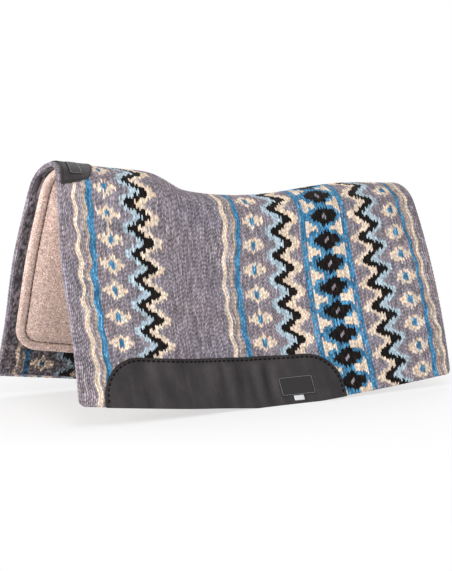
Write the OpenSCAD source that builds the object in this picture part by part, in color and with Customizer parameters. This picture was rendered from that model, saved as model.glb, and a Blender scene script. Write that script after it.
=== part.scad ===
// Western saddle pad: a thick woven blanket over a felt liner with a foam core in each side,
// wear leathers along the hem and a leather patch folded over the withers.
// X runs along the ridge from front to rear, Y across it, Z up from the hem that it stands on.
// Every layer is the same shaped surface, set deeper or prouder along the surface's own normal.

/* [Pad] */
// Length along the ridge
pad_length = 864; // [760:1:1000]
// How far the front edge leans forward at the hem
front_lean = 27; // [0:1:60]
// How far the rear edge leans back at the hem
rear_lean = 22; // [0:1:60]

/* [Ridge line] */
// Height of the ridge at the front edge
front_height = 494; // [440:1:520]
// Height of the ridge over the withers
withers_height = 481; // [440:1:520]
// Distance from the front edge to the withers
withers_at = 150; // [110:1:180]
// Height of the ridge where the withers end
brow_height = 471; // [430:1:500]
// Distance from the front edge to the end of the withers
brow_at = 230; // [195:1:270]
// Height of the ridge at the foot of the fall behind the withers
fall_height = 435; // [400:1:460]
// Distance from the front edge to the foot of the fall
fall_at = 310; // [285:1:380]
// Height of the ridge at its lowest, under the saddle's seat
dip_height = 424; // [390:1:460]
// Distance from the front edge to the lowest place
dip_at = 480; // [420:1:540]
// Height of the ridge over the loin
loin_height = 447; // [400:1:480]
// Distance from the loin to the rear edge
loin_from_rear = 164; // [100:1:200]
// Height of the ridge at the rear edge
rear_height = 447; // [400:1:480]
// How far the ridge tips over to the near side at the front edge
withers_tip = 14; // [0:1:24]
// Distance from the front edge to where the ridge stands upright
tip_length = 170; // [110:1:240]
// Distance from the ridge line, along the surface, that the tip draws with it
tip_reach = 120; // [100:1:150]
// How far the front edge is set back at the ridge line
front_set_back = 6; // [0:1:12]
// How far the front edge bows forward half way down each side
front_bow = 7; // [0:1:14]
// Length of pad behind the front edge over which its curve fades
bow_length = 140; // [100:1:240]

/* [Cross section] */
// Radius of the crown at the front edge
crown_front = 77; // [65:1:95]
// Radius of the crown at mid length
crown_middle = 73; // [65:1:95]
// Radius of the crown at the rear edge
crown_rear = 80; // [65:1:95]
// Slope of the side below the crown at the front, in degrees from level
shoulder_front = 70; // [60:1:80]
// Slope of the side below the crown at mid length
shoulder_middle = 86; // [70:1:88]
// Slope of the side below the crown at the rear
shoulder_rear = 65; // [60:1:80]
// Slope of the side at the hem, front
hem_slope_front = 71; // [60:1:85]
// Slope of the side at the hem, mid length
hem_slope_middle = 59; // [55:1:80]
// Slope of the side at the hem, rear
hem_slope_rear = 82; // [60:1:86]

/* [Hem] */
// How far the hem lifts at the front edge
front_rise = 45; // [10:1:60]
// How far the hem lifts at the rear edge
rear_rise = 27; // [5:1:50]
// Distance from the front edge to where the hem lies flat
flat_from = 385; // [300:1:420]
// Distance from the front edge to where the hem leaves the floor again
flat_to = 525; // [480:1:620]
// Depth cut off the hem so that it stands flat
flat_cut = 0.5; // [0.2:0.1:1]

/* [Layers] */
// Thickness of the woven blanket
blanket_thick = 9; // [6:0.5:12]
// Thickness of the felt liner
felt_thick = 8; // [5:0.5:12]
// Thickness of the foam core
core_thick = 6; // [3:0.5:10]
// Thickness of the leather
leather_thick = 2.5; // [1.5:0.1:4]
// Thickness of a label
label_thick = 1.2; // [0.8:0.1:2]
// Clearance between one layer and the next
layer_gap = 0.5; // [0.4:0.1:0.8]

/* [Blanket] */
// Radius of the blanket's hem corners
blanket_corner = 18; // [8:1:40]
// How far in from its edge the blanket is rounded
edge_round = 4; // [2:0.5:6]
// Distance from the ridge line to each side panel, along the surface
ridge_half = 60; // [45:1:64]
// Clearance between the ridge strip and each side panel
panel_gap = 0.4; // [0.3:0.1:0.8]

/* [Liner] */
// Distance from the blanket's front and rear edges to the liner
liner_inset = 21; // [8:1:40]
// Distance from the blanket's hem to the liner
liner_hem_inset = 72; // [40:1:100]
// Radius of the liner's lower corners
liner_corner = 50; // [30:1:70]
// Distance from the liner's edge to its sewn groove
groove_inset = 20; // [14:1:28]
// Half the width of the sewn groove
groove_half = 6; // [4:0.5:8]
// Thickness of the felt drawn down in the groove
groove_felt = 3.5; // [2:0.1:4.5]
// Width of the slope from the groove up to the padded middle
pocket_slope = 18; // [12:1:30]

/* [Core] */
// Clearance from the slope of the pocket to the core
core_margin = 3; // [2:0.5:10]

/* [Wear leather] */
// Distance from the front edge to the wear leather
wear_from = 54; // [40:1:120]
// Length of the wear leather along the hem
wear_length = 537; // [400:1:600]
// Height of the wear leather
wear_height = 105; // [80:1:140]
// Radius of the wear leather's upper corners
wear_corner = 80; // [40:1:95]

/* [Withers patch] */
// Distance from the blanket's front edge to the withers patch
patch_from = 10; // [6:1:16]
// Length of the withers patch
patch_length = 76; // [60:1:120]
// Drop of the withers patch on each side of the ridge line, at its front edge
patch_drop = 86; // [70:1:100]
// How much shorter that drop is at the patch's rear edge
patch_taper = 20; // [0:1:24]
// Radius of the patch's corners
patch_corner = 10; // [4:1:20]
// Distance from the patch's front edge to its label
patch_label_from = 17; // [10:1:30]
// Length of the patch's label
patch_label_length = 27; // [20:1:36]
// Distance from the ridge line to the patch's label
patch_label_top = 15; // [2:1:20]
// Height of the patch's label
patch_label_height = 44; // [24:1:46]

/* [Side label] */
// Distance from the wear leather's front end to its label
side_label_from = 388; // [120:1:400]
// Length of the label on the wear leather
side_label_length = 79; // [50:1:90]
// Height of the label on the wear leather
side_label_height = 41; // [25:1:50]
// Height of the label's lower edge above the hem
side_label_up = 17; // [13:1:30]
// Distance from the label's front end to the tag under it
tag_from = 26; // [5:1:40]
// Length of the tag
tag_length = 23; // [12:1:30]
// Height of the tag that shows under the label
tag_height = 11; // [5:1:12]
// Clearance between the label and its tag
tag_gap = 0.5; // [0.4:0.1:1]

/* [Hidden] */
near = -1;
far = 1;
radian = 180 / PI;
// Spacing of the columns that all the layers share, so that their facets lie parallel
column_step = 40;
// Least space between a layer's own end columns and the first shared one
column_room = 14;
// Spacing of the rows where a side panel bends round the crown
crown_row = 16;
crown_rows = [for (k = [0 : 3]) k * crown_row];
// Least radius of a corner that follows another piece's corner
least_corner = 8;
// Share of the blanket's thickness that is rounded away on each face at its edges
edge_thin = 0.18;
// Share of the felt's thickness that is left at its edges
felt_edge = 0.55;
// Exponent of the hem's lift, a little over a straight line
hem_curve = 1.08;
// Shares of the drop between which the front edge bows, and down to which it is set back
bow_from = 0.12;
bow_to = 0.82;
set_back_to = 0.16;
// Step for slopes of the surface
slope_step = 0.5;
// Keeps the two slopes of a section apart where they would be equal
slope_apart = 0.01;
// Half way between the ends of the hem, where the origin lies
middle = (pad_length + rear_lean - front_lean) / 2;
floor_size = 3 * pad_length;
floor_depth = 60;

ridge_stations = [0, withers_at, brow_at, fall_at, dip_at, pad_length - loin_from_rear, pad_length];
ridge_heights = [front_height, withers_height, brow_height, fall_height, dip_height, loin_height,
    rear_height];
section_stations = [0, pad_length / 2, pad_length];
crowns = [crown_front, crown_middle, crown_rear];
shoulders = [shoulder_front, shoulder_middle, shoulder_rear];
hem_slopes = [hem_slope_front, hem_slope_middle, hem_slope_rear];

// Depths of the layers below the blanket's face, and of what lies on the face
liner_depth = blanket_thick + layer_gap;
core_depth = liner_depth;
pocket_depth = core_depth + core_thick + layer_gap;
leather_face = -(layer_gap + leather_thick);
label_back = leather_face - layer_gap;
label_face = label_back - label_thick;
core_inset = groove_inset + groove_half + pocket_slope + core_margin;
panel_top = ridge_half + panel_gap;
core_round = max(liner_corner - core_inset, least_corner);
core_top = panel_top + 2 * crown_row + core_margin;

// A smooth curve through stations xs at values ys
function slope_at(xs, ys, i) =
    let (a = max(i - 1, 0), b = min(i + 1, len(xs) - 1)) (ys[b] - ys[a]) / (xs[b] - xs[a]);
function stretch_of(x, xs) = max([for (i = [0 : len(xs) - 2]) x >= xs[i] ? i : 0]);
function through(x, xs, ys) =
    let (
        i = stretch_of(x, xs),
        h = xs[i + 1] - xs[i],
        t = (x - xs[i]) / h,
        rise_in = slope_at(xs, ys, i) * h,
        rise_out = slope_at(xs, ys, i + 1) * h,
        ease = t * t * (3 - 2 * t)
    )
    ys[i] * (1 - ease) + ys[i + 1] * ease + rise_in * t * (1 - t) * (1 - t) - rise_out * t * t * (1 - t);

function ridge(x) = through(x, ridge_stations, ridge_heights);
function hem_height(x) =
    front_rise * pow(max(flat_from - x, 0) / flat_from, hem_curve)
    + rear_rise * pow(max(x - flat_to, 0) / (pad_length - flat_to), hem_curve) - flat_cut;

// A section is two arcs: the crown, then a long side that bends from its shoulder to its hem
function crown(x) = through(x, section_stations, crowns);
function shoulder(x) = through(x, section_stations, shoulders);
function hem_slope(x) =
    let (a = shoulder(x), b = through(x, section_stations, hem_slopes))
    abs(a - b) < slope_apart ? a + slope_apart : b;
function side_length(x) =
    let (r = crown(x), a = shoulder(x), b = hem_slope(x))
    (ridge(x) - hem_height(x) - r * (1 - cos(a))) * (b - a) / radian / (cos(a) - cos(b));
// Length of the surface from the ridge line to the hem
function drop(x) = crown(x) * shoulder(x) / radian + side_length(x);

// How far the surface is drawn to the near side, round the front of the ridge
function tip(x, s) =
    withers_tip * pow(max(1 - x / tip_length, 0), 2) * pow(max(1 - pow(s / tip_reach, 2), 0), 2);

// How far the surface is drawn forward at the front edge, at a share of the way down to the hem
function bow(x, share) =
    let (down = min(max((share - bow_from) / (bow_to - bow_from), 0), 1))
    pow(max(1 - x / bow_length, 0), 2) * (front_bow * pow(sin(180 * down), 2)
        - front_set_back * pow(max(1 - pow(share / set_back_to, 2), 0), 2));

// The blanket's face at distance x from the front and s from the ridge line, s < 0 on the near side
function face(x, s) =
    let (
        r = crown(x),
        a = shoulder(x),
        arc = r * a / radian,
        side = side_length(x),
        bend = (hem_slope(x) - a) / side,
        t = abs(s),
        c = min(t / r * radian, a),
        q = a + bend * max(t - arc, 0),
        y = r * sin(c) + (sin(q) - sin(a)) * radian / bend,
        z = r * (1 - cos(c)) + (cos(a) - cos(q)) * radian / bend,
        lean = rear_lean * x / pad_length - front_lean * (1 - x / pad_length)
    )
    [x - middle + lean * t / (arc + side) - bow(x, t / (arc + side)), sign(s) * y - tip(x, s), ridge(x) - z];
function normal(x, s) =
    let (
        e = slope_step,
        n = cross(face(x + e, s) - face(x - e, s), face(x, s + e) - face(x, s - e))
    )
    n / norm(n);
function lay(x, s, depth) = face(x, s) - depth * normal(x, s);
// Where a layer at this depth ends so that the hem is level across its thickness
function hem_end(x, depth) = drop(x) - depth / tan(hem_slope(x));

// Turns concentric squares in a corner into concentric arcs of a corner of radius r
function rounded(a, b, r) =
    a >= r || b >= r ? [a, b]
    : let (u = r - a, w = r - b, big = max(u, w), turn = u >= w ? 45 * w / u : 90 - 45 * u / w)
      [r - big * cos(turn), r - big * sin(turn)];

// Columns [inset, from the rear] at the given insets from both ends, with the shared ones between
function columns(from, to, insets) =
    let (room = insets[len(insets) - 1] + column_room)
    concat(
        [for (a = insets) [a, false]],
        [for (k = [1 : floor(pad_length / column_step)])
            let (x = k * column_step)
            if (x > from + room && x < to - room) [x - from, false]],
        [for (k = [len(insets) - 1 : -1 : 0]) [insets[k], true]]
    );
// Rows [share, shift] of a span: fixed ones below its top, even ones between, fixed ones above its end
function rows(tops, between, ends) =
    let (t = tops[len(tops) - 1], e = ends[0])
    concat(
        [for (c = tops) [0, c]],
        [for (k = [1 : between]) let (w = k / (between + 1)) [w, t * (1 - w) - e * w]],
        [for (b = ends) [1, -b]]
    );
function even_rows(count) = [for (k = [0 : count]) [k / count, 0]];

// One skin of a layer. Its depth is skin(a, b, e), from the distances to the layer's nearer end,
// to the end of its span and to the top of its span
function skin_points(side, from, to, span, cols, lines, corners, skin) =
    [for (c = cols) [for (r = lines)
        let (
            a = c[0],
            x0 = c[1] ? to - a : from + a,
            s0 = span(x0, 0),
            length = s0[1] - s0[0],
            e = r[0] * length + r[1],
            b = length - e,
            high = e < corners[0] || (e < b && b >= corners[1]),
            turned = high ? rounded(a, e, corners[0]) : rounded(a, b, corners[1]),
            x = c[1] ? to - turned[0] : from + turned[0],
            depth = skin(a, b, e),
            s1 = span(x, depth),
            s = high ? s1[0] + turned[1] : s1[1] - turned[1]
        )
        lay(x, side * s, depth)]];

// A closed layer between two skins, with faces turned the right way out on either side
module layer(side, from, to, span, cols, lines, corners, outer, inner) {
    nc = len(cols);
    nr = len(lines);
    skins = concat(
        skin_points(side, from, to, span, cols, lines, corners, outer),
        skin_points(side, from, to, span, cols, lines, corners, inner)
    );
    points = [for (column = skins) each column];
    function at(i, j, k) = (k * nc + i) * nr + j;
    function quad(a, b, c, d) = [[a, b, c], [a, c, d]];
    cells = [for (i = [0 : nc - 2]) for (j = [0 : nr - 2])
        each concat(
            quad(at(i, j, 0), at(i, j + 1, 0), at(i + 1, j + 1, 0), at(i + 1, j, 0)),
            quad(at(i, j, 1), at(i + 1, j, 1), at(i + 1, j + 1, 1), at(i, j + 1, 1))
        )];
    along = [for (i = [0 : nc - 2])
        each concat(
            quad(at(i, 0, 0), at(i + 1, 0, 0), at(i + 1, 0, 1), at(i, 0, 1)),
            quad(at(i + 1, nr - 1, 0), at(i, nr - 1, 0), at(i, nr - 1, 1), at(i + 1, nr - 1, 1))
        )];
    across = [for (j = [0 : nr - 2])
        each concat(
            quad(at(0, j + 1, 0), at(0, j, 0), at(0, j, 1), at(0, j + 1, 1)),
            quad(at(nc - 1, j, 0), at(nc - 1, j + 1, 0), at(nc - 1, j + 1, 1), at(nc - 1, j, 1))
        )];
    faces = concat(cells, along, across);
    polyhedron(points, side < 0 ? [for (f = faces) [f[2], f[1], f[0]]] : faces, convexity = 8);
}

module stand_flat() {
    difference() {
        children();
        translate([-floor_size / 2, -floor_size / 2, -floor_depth])
            cube([floor_size, floor_size, floor_depth]);
    }
}

// The blanket is one thick cloth: a panel on each side and the strip over the ridge that bends
blanket_insets = [0, edge_round];
function blanket_outer(m) = m < edge_round ? blanket_thick * edge_thin : 0;
function blanket_inner(m) = blanket_thick - blanket_outer(m);

module blanket_panel(side) {
    color("#86818a")
        stand_flat()
            layer(side, 0, pad_length, function (x, n) [panel_top, hem_end(x, n)],
                columns(0, pad_length, blanket_insets),
                rows(crown_rows, 7, [blanket_corner, edge_round, 0]),
                [0, blanket_corner], function (a, b, e) blanket_outer(min(a, b)),
                function (a, b, e) blanket_inner(min(a, b)));
}
module blanket_near() { blanket_panel(near); }
module blanket_far() { blanket_panel(far); }
module blanket_ridge() {
    color("#86818a")
        layer(far, 0, pad_length, function (x, n) [-ridge_half, ridge_half],
            columns(0, pad_length, blanket_insets), even_rows(8), [0, 0],
            function (a, b, e) blanket_outer(a), function (a, b, e) blanket_inner(a));
}

// The felt is sewn down along a groove inside its edge and stands up over the core inside that.
// Over the ridge it lies on the blanket, which keeps the padding off the spine.
liner_edge = 6;
groove_insets = [0, liner_edge, groove_inset - groove_half, groove_inset, groove_inset + groove_half,
    groove_inset + groove_half + pocket_slope];
function felt_at(m) =
    m < liner_edge ? felt_thick * felt_edge
    : m < groove_inset - groove_half / 2 ? felt_thick
    : m < groove_inset + groove_half / 2 ? groove_felt
    : felt_thick;
function padded(m, e) = m > core_inset - core_margin - 1 && e > 1.5 * crown_row;
function liner_outer(m, e) = padded(m, e) ? pocket_depth : liner_depth;
function liner_inner(m, e) = liner_outer(m, e) + felt_at(m);

module liner_panel(side) {
    color("#c8ad98")
        layer(side, liner_inset, pad_length - liner_inset,
            function (x, n) [panel_top, drop(x) - liner_hem_inset],
            columns(liner_inset, pad_length - liner_inset, groove_insets),
            rows(crown_rows, 7, [for (k = [5 : -1 : 0]) groove_insets[k]]),
            [0, liner_corner], function (a, b, e) liner_outer(min(a, b), e),
            function (a, b, e) liner_inner(min(a, b), e));
}
module liner_near() { liner_panel(near); }
module liner_far() { liner_panel(far); }
module liner_ridge() {
    color("#c8ad98")
        layer(far, liner_inset, pad_length - liner_inset, function (x, n) [-ridge_half, ridge_half],
            columns(liner_inset, pad_length - liner_inset, groove_insets), even_rows(8), [0, 0],
            function (a, b, e) liner_outer(a, 0), function (a, b, e) liner_inner(a, 0));
}

// A foam core fills the pocket between the blanket and the felt on each side
module core(side) {
    color("#4a4a50")
        layer(side, liner_inset + core_inset, pad_length - liner_inset - core_inset,
            function (x, n) [core_top, drop(x) - liner_hem_inset - core_inset],
            columns(liner_inset + core_inset, pad_length - liner_inset - core_inset, [0]),
            rows([0, crown_row], 6, [0]), [0, core_round],
            function (a, b, e) core_depth, function (a, b, e) core_depth + core_thick);
}
module core_near() { core(near); }
module core_far() { core(far); }

// A wear leather guards the hem under the cinch straps on each side
wear_insets = [for (k = [0 : 6]) wear_corner * k / 6];
module wear_leather(side) {
    color("#35312f")
        stand_flat()
            layer(side, wear_from, wear_from + wear_length,
                function (x, n) [drop(x) - wear_height, hem_end(x, n)],
                columns(wear_from, wear_from + wear_length, wear_insets),
                rows(wear_insets, 1, [0]), [wear_corner, 0],
                function (a, b, e) leather_face, function (a, b, e) -layer_gap);
}
module wear_leather_near() { wear_leather(near); }
module wear_leather_far() { wear_leather(far); }

// A leather patch is folded over the ridge at the front edge
function patch_half(x) = patch_drop - patch_taper * (x - patch_from) / patch_length;
module withers_patch() {
    insets = [0, patch_corner / 2, patch_corner];
    color("#35312f")
        layer(far, patch_from, patch_from + patch_length, function (x, n) [-patch_half(x), patch_half(x)],
            columns(patch_from, patch_from + patch_length, insets),
            rows(insets, 15, [patch_corner, patch_corner / 2, 0]), [patch_corner, patch_corner],
            function (a, b, e) leather_face, function (a, b, e) -layer_gap);
}

// Plain labels: a small one on the patch, a larger one on the wear leather with a tag under it
module label(from, length, span, tone) {
    color(tone)
        layer(near, from, from + length, span, columns(from, from + length, [0, length / 4]),
            even_rows(4), [0, 0], function (a, b, e) label_face, function (a, b, e) label_back);
}
module withers_label() {
    label(patch_from + patch_label_from, patch_label_length,
        function (x, n) [patch_label_top, patch_label_top + patch_label_height], "#2a2827");
}
module side_label() {
    label(wear_from + side_label_from, side_label_length,
        function (x, n) [drop(x) - side_label_up - side_label_height, drop(x) - side_label_up], "#2a2827");
}
module side_tag() {
    label(wear_from + side_label_from + tag_from, tag_length,
        function (x, n) [drop(x) - side_label_up + tag_gap, drop(x) - side_label_up + tag_gap + tag_height],
        "#e8e6e2");
}

blanket_near();
blanket_ridge();
blanket_far();
liner_near();
liner_ridge();
liner_far();
core_near();
core_far();
wear_leather_near();
wear_leather_far();
withers_patch();
withers_label();
side_label();
side_tag();
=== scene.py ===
# %% [markdown]
# # A western saddle pad
# The pad is a thick woven blanket folded over a horse's back, with a felt liner and a foam core
# inside each half, leather along the hem and a leather patch over the withers. The solids come from
# a CAD pack. This lesson dresses that frame.

# %% Load the frame
import math

import bpy
import numpy as np
from mathutils import Matrix, Vector


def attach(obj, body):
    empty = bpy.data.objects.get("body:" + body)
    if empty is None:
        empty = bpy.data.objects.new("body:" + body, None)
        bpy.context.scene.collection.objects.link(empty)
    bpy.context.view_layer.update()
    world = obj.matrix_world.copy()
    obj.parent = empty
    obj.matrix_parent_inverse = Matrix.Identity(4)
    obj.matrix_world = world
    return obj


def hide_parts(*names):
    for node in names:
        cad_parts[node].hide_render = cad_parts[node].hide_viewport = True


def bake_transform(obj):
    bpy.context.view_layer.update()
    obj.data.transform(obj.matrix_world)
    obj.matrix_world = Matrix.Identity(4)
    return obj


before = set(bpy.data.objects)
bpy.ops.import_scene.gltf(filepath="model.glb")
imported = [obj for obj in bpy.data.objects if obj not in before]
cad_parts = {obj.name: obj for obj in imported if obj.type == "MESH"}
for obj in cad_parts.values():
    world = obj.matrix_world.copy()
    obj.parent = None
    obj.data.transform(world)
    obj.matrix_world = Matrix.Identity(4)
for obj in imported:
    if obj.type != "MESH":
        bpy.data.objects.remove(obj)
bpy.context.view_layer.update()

# %% [markdown]
# ## The contour that every layer follows
# The real pad is moulded: its ridge rises at the withers and dips under the saddle, and each side
# swells and narrows like the horse. One could drape a cloth over a horse-shaped body, but the CAD
# already has the shape as a formula, so the same formula is written again here. A place on it is a
# distance x from the front edge and a distance s from the ridge line, in millimetres, with s below
# zero on the near side. A depth then sinks a layer in along the surface's own normal.

# %% The cross section
PAD_LENGTH = 864.0
RIDGE_AT = np.array([0, 150, 230, 310, 480, 700, PAD_LENGTH])
RIDGE_HEIGHT = np.array([494.0, 481, 471, 435, 424, 447, 447])
SECTION_AT = np.array([0, PAD_LENGTH / 2, PAD_LENGTH])
CROWN_RADIUS = np.array([77.0, 73, 80])
SHOULDER_SLOPE = np.radians([70.0, 86, 65])
HEM_SLOPE = np.radians([71.0, 59, 82])
FRONT_RISE, FLAT_FROM = 45.0, 385.0
REAR_RISE, FLAT_TO = 27.0, 525.0
HEM_CURVE, FLAT_CUT, LEAST_BEND = 1.08, 0.5, 2e-4


def curve_through(x, stations, values):
    """A smooth curve through the values at the stations, read at x."""
    last = len(stations) - 1
    k = np.arange(last + 1)
    before, after = np.maximum(k - 1, 0), np.minimum(k + 1, last)
    slope = (values[after] - values[before]) / (stations[after] - stations[before])
    i = np.clip(np.searchsorted(stations, x, side="right") - 1, 0, last - 1)
    h = stations[i + 1] - stations[i]
    t = (x - stations[i]) / h
    ease = t * t * (3 - 2 * t)
    rise = slope[i] * h * t * (1 - t) ** 2 - slope[i + 1] * h * t * t * (1 - t)
    return values[i] * (1 - ease) + values[i + 1] * ease + rise


def section(x):
    """Ridge height, crown radius, shoulder slope, hem slope and side length at x."""
    front = FRONT_RISE * (np.maximum(FLAT_FROM - x, 0) / FLAT_FROM) ** HEM_CURVE
    rear = REAR_RISE * (np.maximum(x - FLAT_TO, 0) / (PAD_LENGTH - FLAT_TO)) ** HEM_CURVE
    top = curve_through(x, RIDGE_AT, RIDGE_HEIGHT)
    r = curve_through(x, SECTION_AT, CROWN_RADIUS)
    a = curve_through(x, SECTION_AT, SHOULDER_SLOPE)
    b = curve_through(x, SECTION_AT, HEM_SLOPE)
    b = np.where(np.abs(a - b) < LEAST_BEND, a + LEAST_BEND, b)
    height = top - (front + rear - FLAT_CUT) - r * (1 - np.cos(a))
    return top, r, a, b, height * (b - a) / (np.cos(a) - np.cos(b))


def drop(x):
    """Distance over the surface from the ridge to the hem."""
    top, r, a, b, side = section(x)
    return r * a + side


drops = drop(SECTION_AT)
print("length from ridge to hem, mm:", drops.round().tolist())

# %% The contour
FRONT_LEAN, REAR_LEAN = 27.0, 22.0
MIDDLE = (PAD_LENGTH + REAR_LEAN - FRONT_LEAN) / 2
WITHERS_TIP, TIP_LENGTH, TIP_REACH = 14.0, 170.0, 120.0
FRONT_BOW, BOW_LENGTH, BOW_FROM, BOW_SPAN = 7.0, 140.0, 0.12, 0.7
FRONT_SET_BACK, SET_BACK_SPAN = 6.0, 0.16
TINY = 1e-9


def faded(share):
    """1 at no share, and eased down to 0 at a whole one and beyond."""
    return np.maximum(1 - share, 0) ** 2


def tip(x, s):
    """How far the surface is drawn to the near side, round the front of the ridge."""
    return WITHERS_TIP * faded(x / TIP_LENGTH) * faded((s / TIP_REACH) ** 2)


def bow(x, share):
    """How far the front edge is drawn forward, at a share of the way down to the hem."""
    down = np.clip((share - BOW_FROM) / BOW_SPAN, 0, 1)
    set_back = FRONT_SET_BACK * faded((share / SET_BACK_SPAN) ** 2)
    return faded(x / BOW_LENGTH) * (FRONT_BOW * np.sin(np.pi * down) ** 2 - set_back)


def face(x, s):
    """Points on the blanket's outer face."""
    top, r, a, b, side = section(x)
    arc, bend, t = r * a, (b - a) / side, np.abs(s)
    c = np.minimum(t / r, a)
    q = a + bend * np.maximum(t - arc, 0)
    out = r * np.sin(c) + (np.sin(q) - np.sin(a)) / bend
    down = r * (1 - np.cos(c)) + (np.cos(a) - np.cos(q)) / bend
    share = t / (arc + side)
    lean = REAR_LEAN * x / PAD_LENGTH - FRONT_LEAN * (1 - x / PAD_LENGTH)
    length = x - MIDDLE + lean * share - bow(x, share)
    return np.stack([length, np.sign(s) * out - tip(x, s), top - down], -1)


def unit(v):
    """Vectors of length 1."""
    return v / np.maximum(np.linalg.norm(v, axis=-1, keepdims=True), TINY)


def lay(x, s, depth, step=0.5):
    """Points sunk by a depth under the face."""
    x, s, depth = np.broadcast_arrays(*[np.asarray(v, float) for v in (x, s, depth)])
    along, across = face(x + step, s) - face(x - step, s), face(x, s + step) - face(x, s - step)
    return face(x, s) - depth[..., None] * unit(np.cross(along, across))


print("ridge at mid length, mm:", lay(PAD_LENGTH / 2, 0, 0).round(1).tolist())

# %% [markdown]
# ## The camera
# The photograph looks at the pad's near side from a little above the floor and a third of the way
# round to its front. The camera's place and focal length were worked out from points that can be
# told apart in the picture, such as the hem corners and the ends of the wear leather.

# %% Camera
PICTURE_WIDTH, FOCAL_PIXELS, SENSOR_MM = 452, 1315.5, 36.0
TURN, TILT = math.radians(-31.164), math.radians(5.296)
DISTANCE, TO_THE_LEFT, RAISED = 2.8367, 0.0156, 0.2223
NUDGE = Vector((0.0025, 0, 0.007))
level = math.cos(TILT)
back = Vector((math.sin(TURN) * level, -math.cos(TURN) * level, math.sin(TILT)))
right = Vector((math.cos(TURN), math.sin(TURN), 0))
up = back.cross(right)
camera = bpy.data.objects.new("photo_camera", bpy.data.cameras.new("photo_camera"))
camera.data.sensor_fit, camera.data.sensor_width = "HORIZONTAL", SENSOR_MM
camera.data.lens = FOCAL_PIXELS * SENSOR_MM / PICTURE_WIDTH
camera.matrix_world = Matrix((right, up, back)).transposed().to_4x4()
camera.location = back * DISTANCE - right * TO_THE_LEFT + up * RAISED + NUDGE
scene = bpy.context.scene
scene.collection.objects.link(camera)
scene.camera = camera
print("camera at", [round(c, 3) for c in camera.location], "lens", round(camera.data.lens, 1))

# %% [markdown]
# ## Light, floor and background
# The picture is a studio shot on white. Big soft lamps stand in for the studio's boxes. The world
# is white where the camera or a reflection looks at it, and dimmer where it only lights the pad,
# so the background is clean and the wool isn't washed out. The floor is pale, takes the pad's
# shadow, and turns white with distance so that it meets the background without a line.

# %% Sky and lamps
WHITE, SKY_LIGHT = (1, 1, 1, 1), 0.55
scene.view_settings.view_transform = "Standard"


def add(tree, kind, links=(), **values):
    """A node of this kind, with inputs set by name or linked from other nodes' outputs."""
    node = tree.nodes.new("ShaderNode" + kind)
    for key, value in values.items():
        setattr(node, key, value)
    for socket, source in links:
        if isinstance(source, bpy.types.NodeSocket):
            tree.links.new(source, node.inputs[socket])
        else:
            node.inputs[socket].default_value = source
    return node


def seen_directly(tree):
    """A value that is 1 for camera, glossy and transmission rays, and 0 for light on things."""
    path = add(tree, "LightPath")
    total = path.outputs["Is Camera Ray"]
    for other in ("Is Glossy Ray", "Is Transmission Ray"):
        pair = [(0, total), (1, path.outputs[other])]
        total = add(tree, "Math", pair, operation="MAXIMUM").outputs[0]
    return total


def lamp(name, place, aim, size, watts):
    """A round area lamp, turned to what it lights."""
    light = bpy.data.lights.new(name, "AREA")
    light.shape, light.size, light.energy = "DISK", size, watts
    o = bpy.data.objects.new(name, light)
    o.location = place
    o.rotation_euler = (Vector(aim) - Vector(place)).to_track_quat("-Z", "Y").to_euler()
    scene.collection.objects.link(o)


world = bpy.data.worlds.new("studio")
scene.world = world
world.use_nodes = True
sky = world.node_tree
soft = sky.nodes["Background"]
soft.inputs["Color"].default_value = WHITE
soft.inputs["Strength"].default_value = SKY_LIGHT
white = add(sky, "Background", [("Color", WHITE), ("Strength", 1.0)])
either = add(sky, "MixShader",
             [("Fac", seen_directly(sky)), (1, soft.outputs[0]), (2, white.outputs[0])])
sky.links.new(either.outputs[0], sky.nodes["World Output"].inputs["Surface"])
lamp("key_lamp", place=(-0.9, -2.2, 2.3), aim=(0, -0.1, 0.25), size=1.6, watts=34)
lamp("front_lamp", place=(-2.3, -0.9, 0.6), aim=(-0.2, 0, 0.25), size=1.2, watts=37)
lamp("rear_lamp", place=(1.8, 1.4, 2.2), aim=(0, 0, 0.3), size=1.6, watts=26)

# %% Floor
FLOOR_HALF, FLOOR_BELOW, PAPER = 40.0, 0.0006, (0.9, 0.9, 0.9, 1)
PAPER_FADE = [("From Min", 0.35), ("From Max", 1.1), ("To Min", 0.62), ("To Max", 1.0)]


def start_material(name, roughness, sheen=0.0, sheen_roughness=0.5, specular=0.3):
    """A material with its node tree and its shader, which has its constant values set."""
    material = bpy.data.materials.new(name)
    material.use_nodes = True
    shader = material.node_tree.nodes["Principled BSDF"]
    shader.inputs["Roughness"].default_value = roughness
    shader.inputs["Sheen Weight"].default_value = sheen
    shader.inputs["Sheen Roughness"].default_value = sheen_roughness
    shader.inputs["Specular IOR Level"].default_value = specular
    return material, material.node_tree, shader


floor_mesh = bpy.data.meshes.new("floor")
signs = ((-1, -1), (1, -1), (1, 1), (-1, 1))
floor_mesh.from_pydata([(x * FLOOR_HALF, y * FLOOR_HALF, 0) for x, y in signs], [], [(0, 1, 2, 3)])
floor = bpy.data.objects.new("floor", floor_mesh)
floor.location.z = -FLOOR_BELOW
scene.collection.objects.link(floor)
paper, tree, plain = start_material("studio_paper", 0.9, specular=0.1)
plain.inputs["Base Color"].default_value = PAPER
glow = add(tree, "Emission")
where = add(tree, "NewGeometry").outputs["Position"]
far_off = add(tree, "VectorMath", [(0, where)], operation="LENGTH").outputs["Value"]
fade = add(tree, "MapRange", [("Value", far_off), *PAPER_FADE],
           interpolation_type="SMOOTHSTEP").outputs["Result"]
shown = add(tree, "Math", [(0, fade), (1, seen_directly(tree))], operation="MULTIPLY")
blend = add(tree, "MixShader",
            [("Fac", shown.outputs[0]), (1, plain.outputs[0]), (2, glow.outputs[0])])
tree.links.new(blend.outputs[0], tree.nodes["Material Output"].inputs["Surface"])
floor.data.materials.append(paper)
print("floor, m:", [round(side, 1) for side in floor.dimensions])

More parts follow.
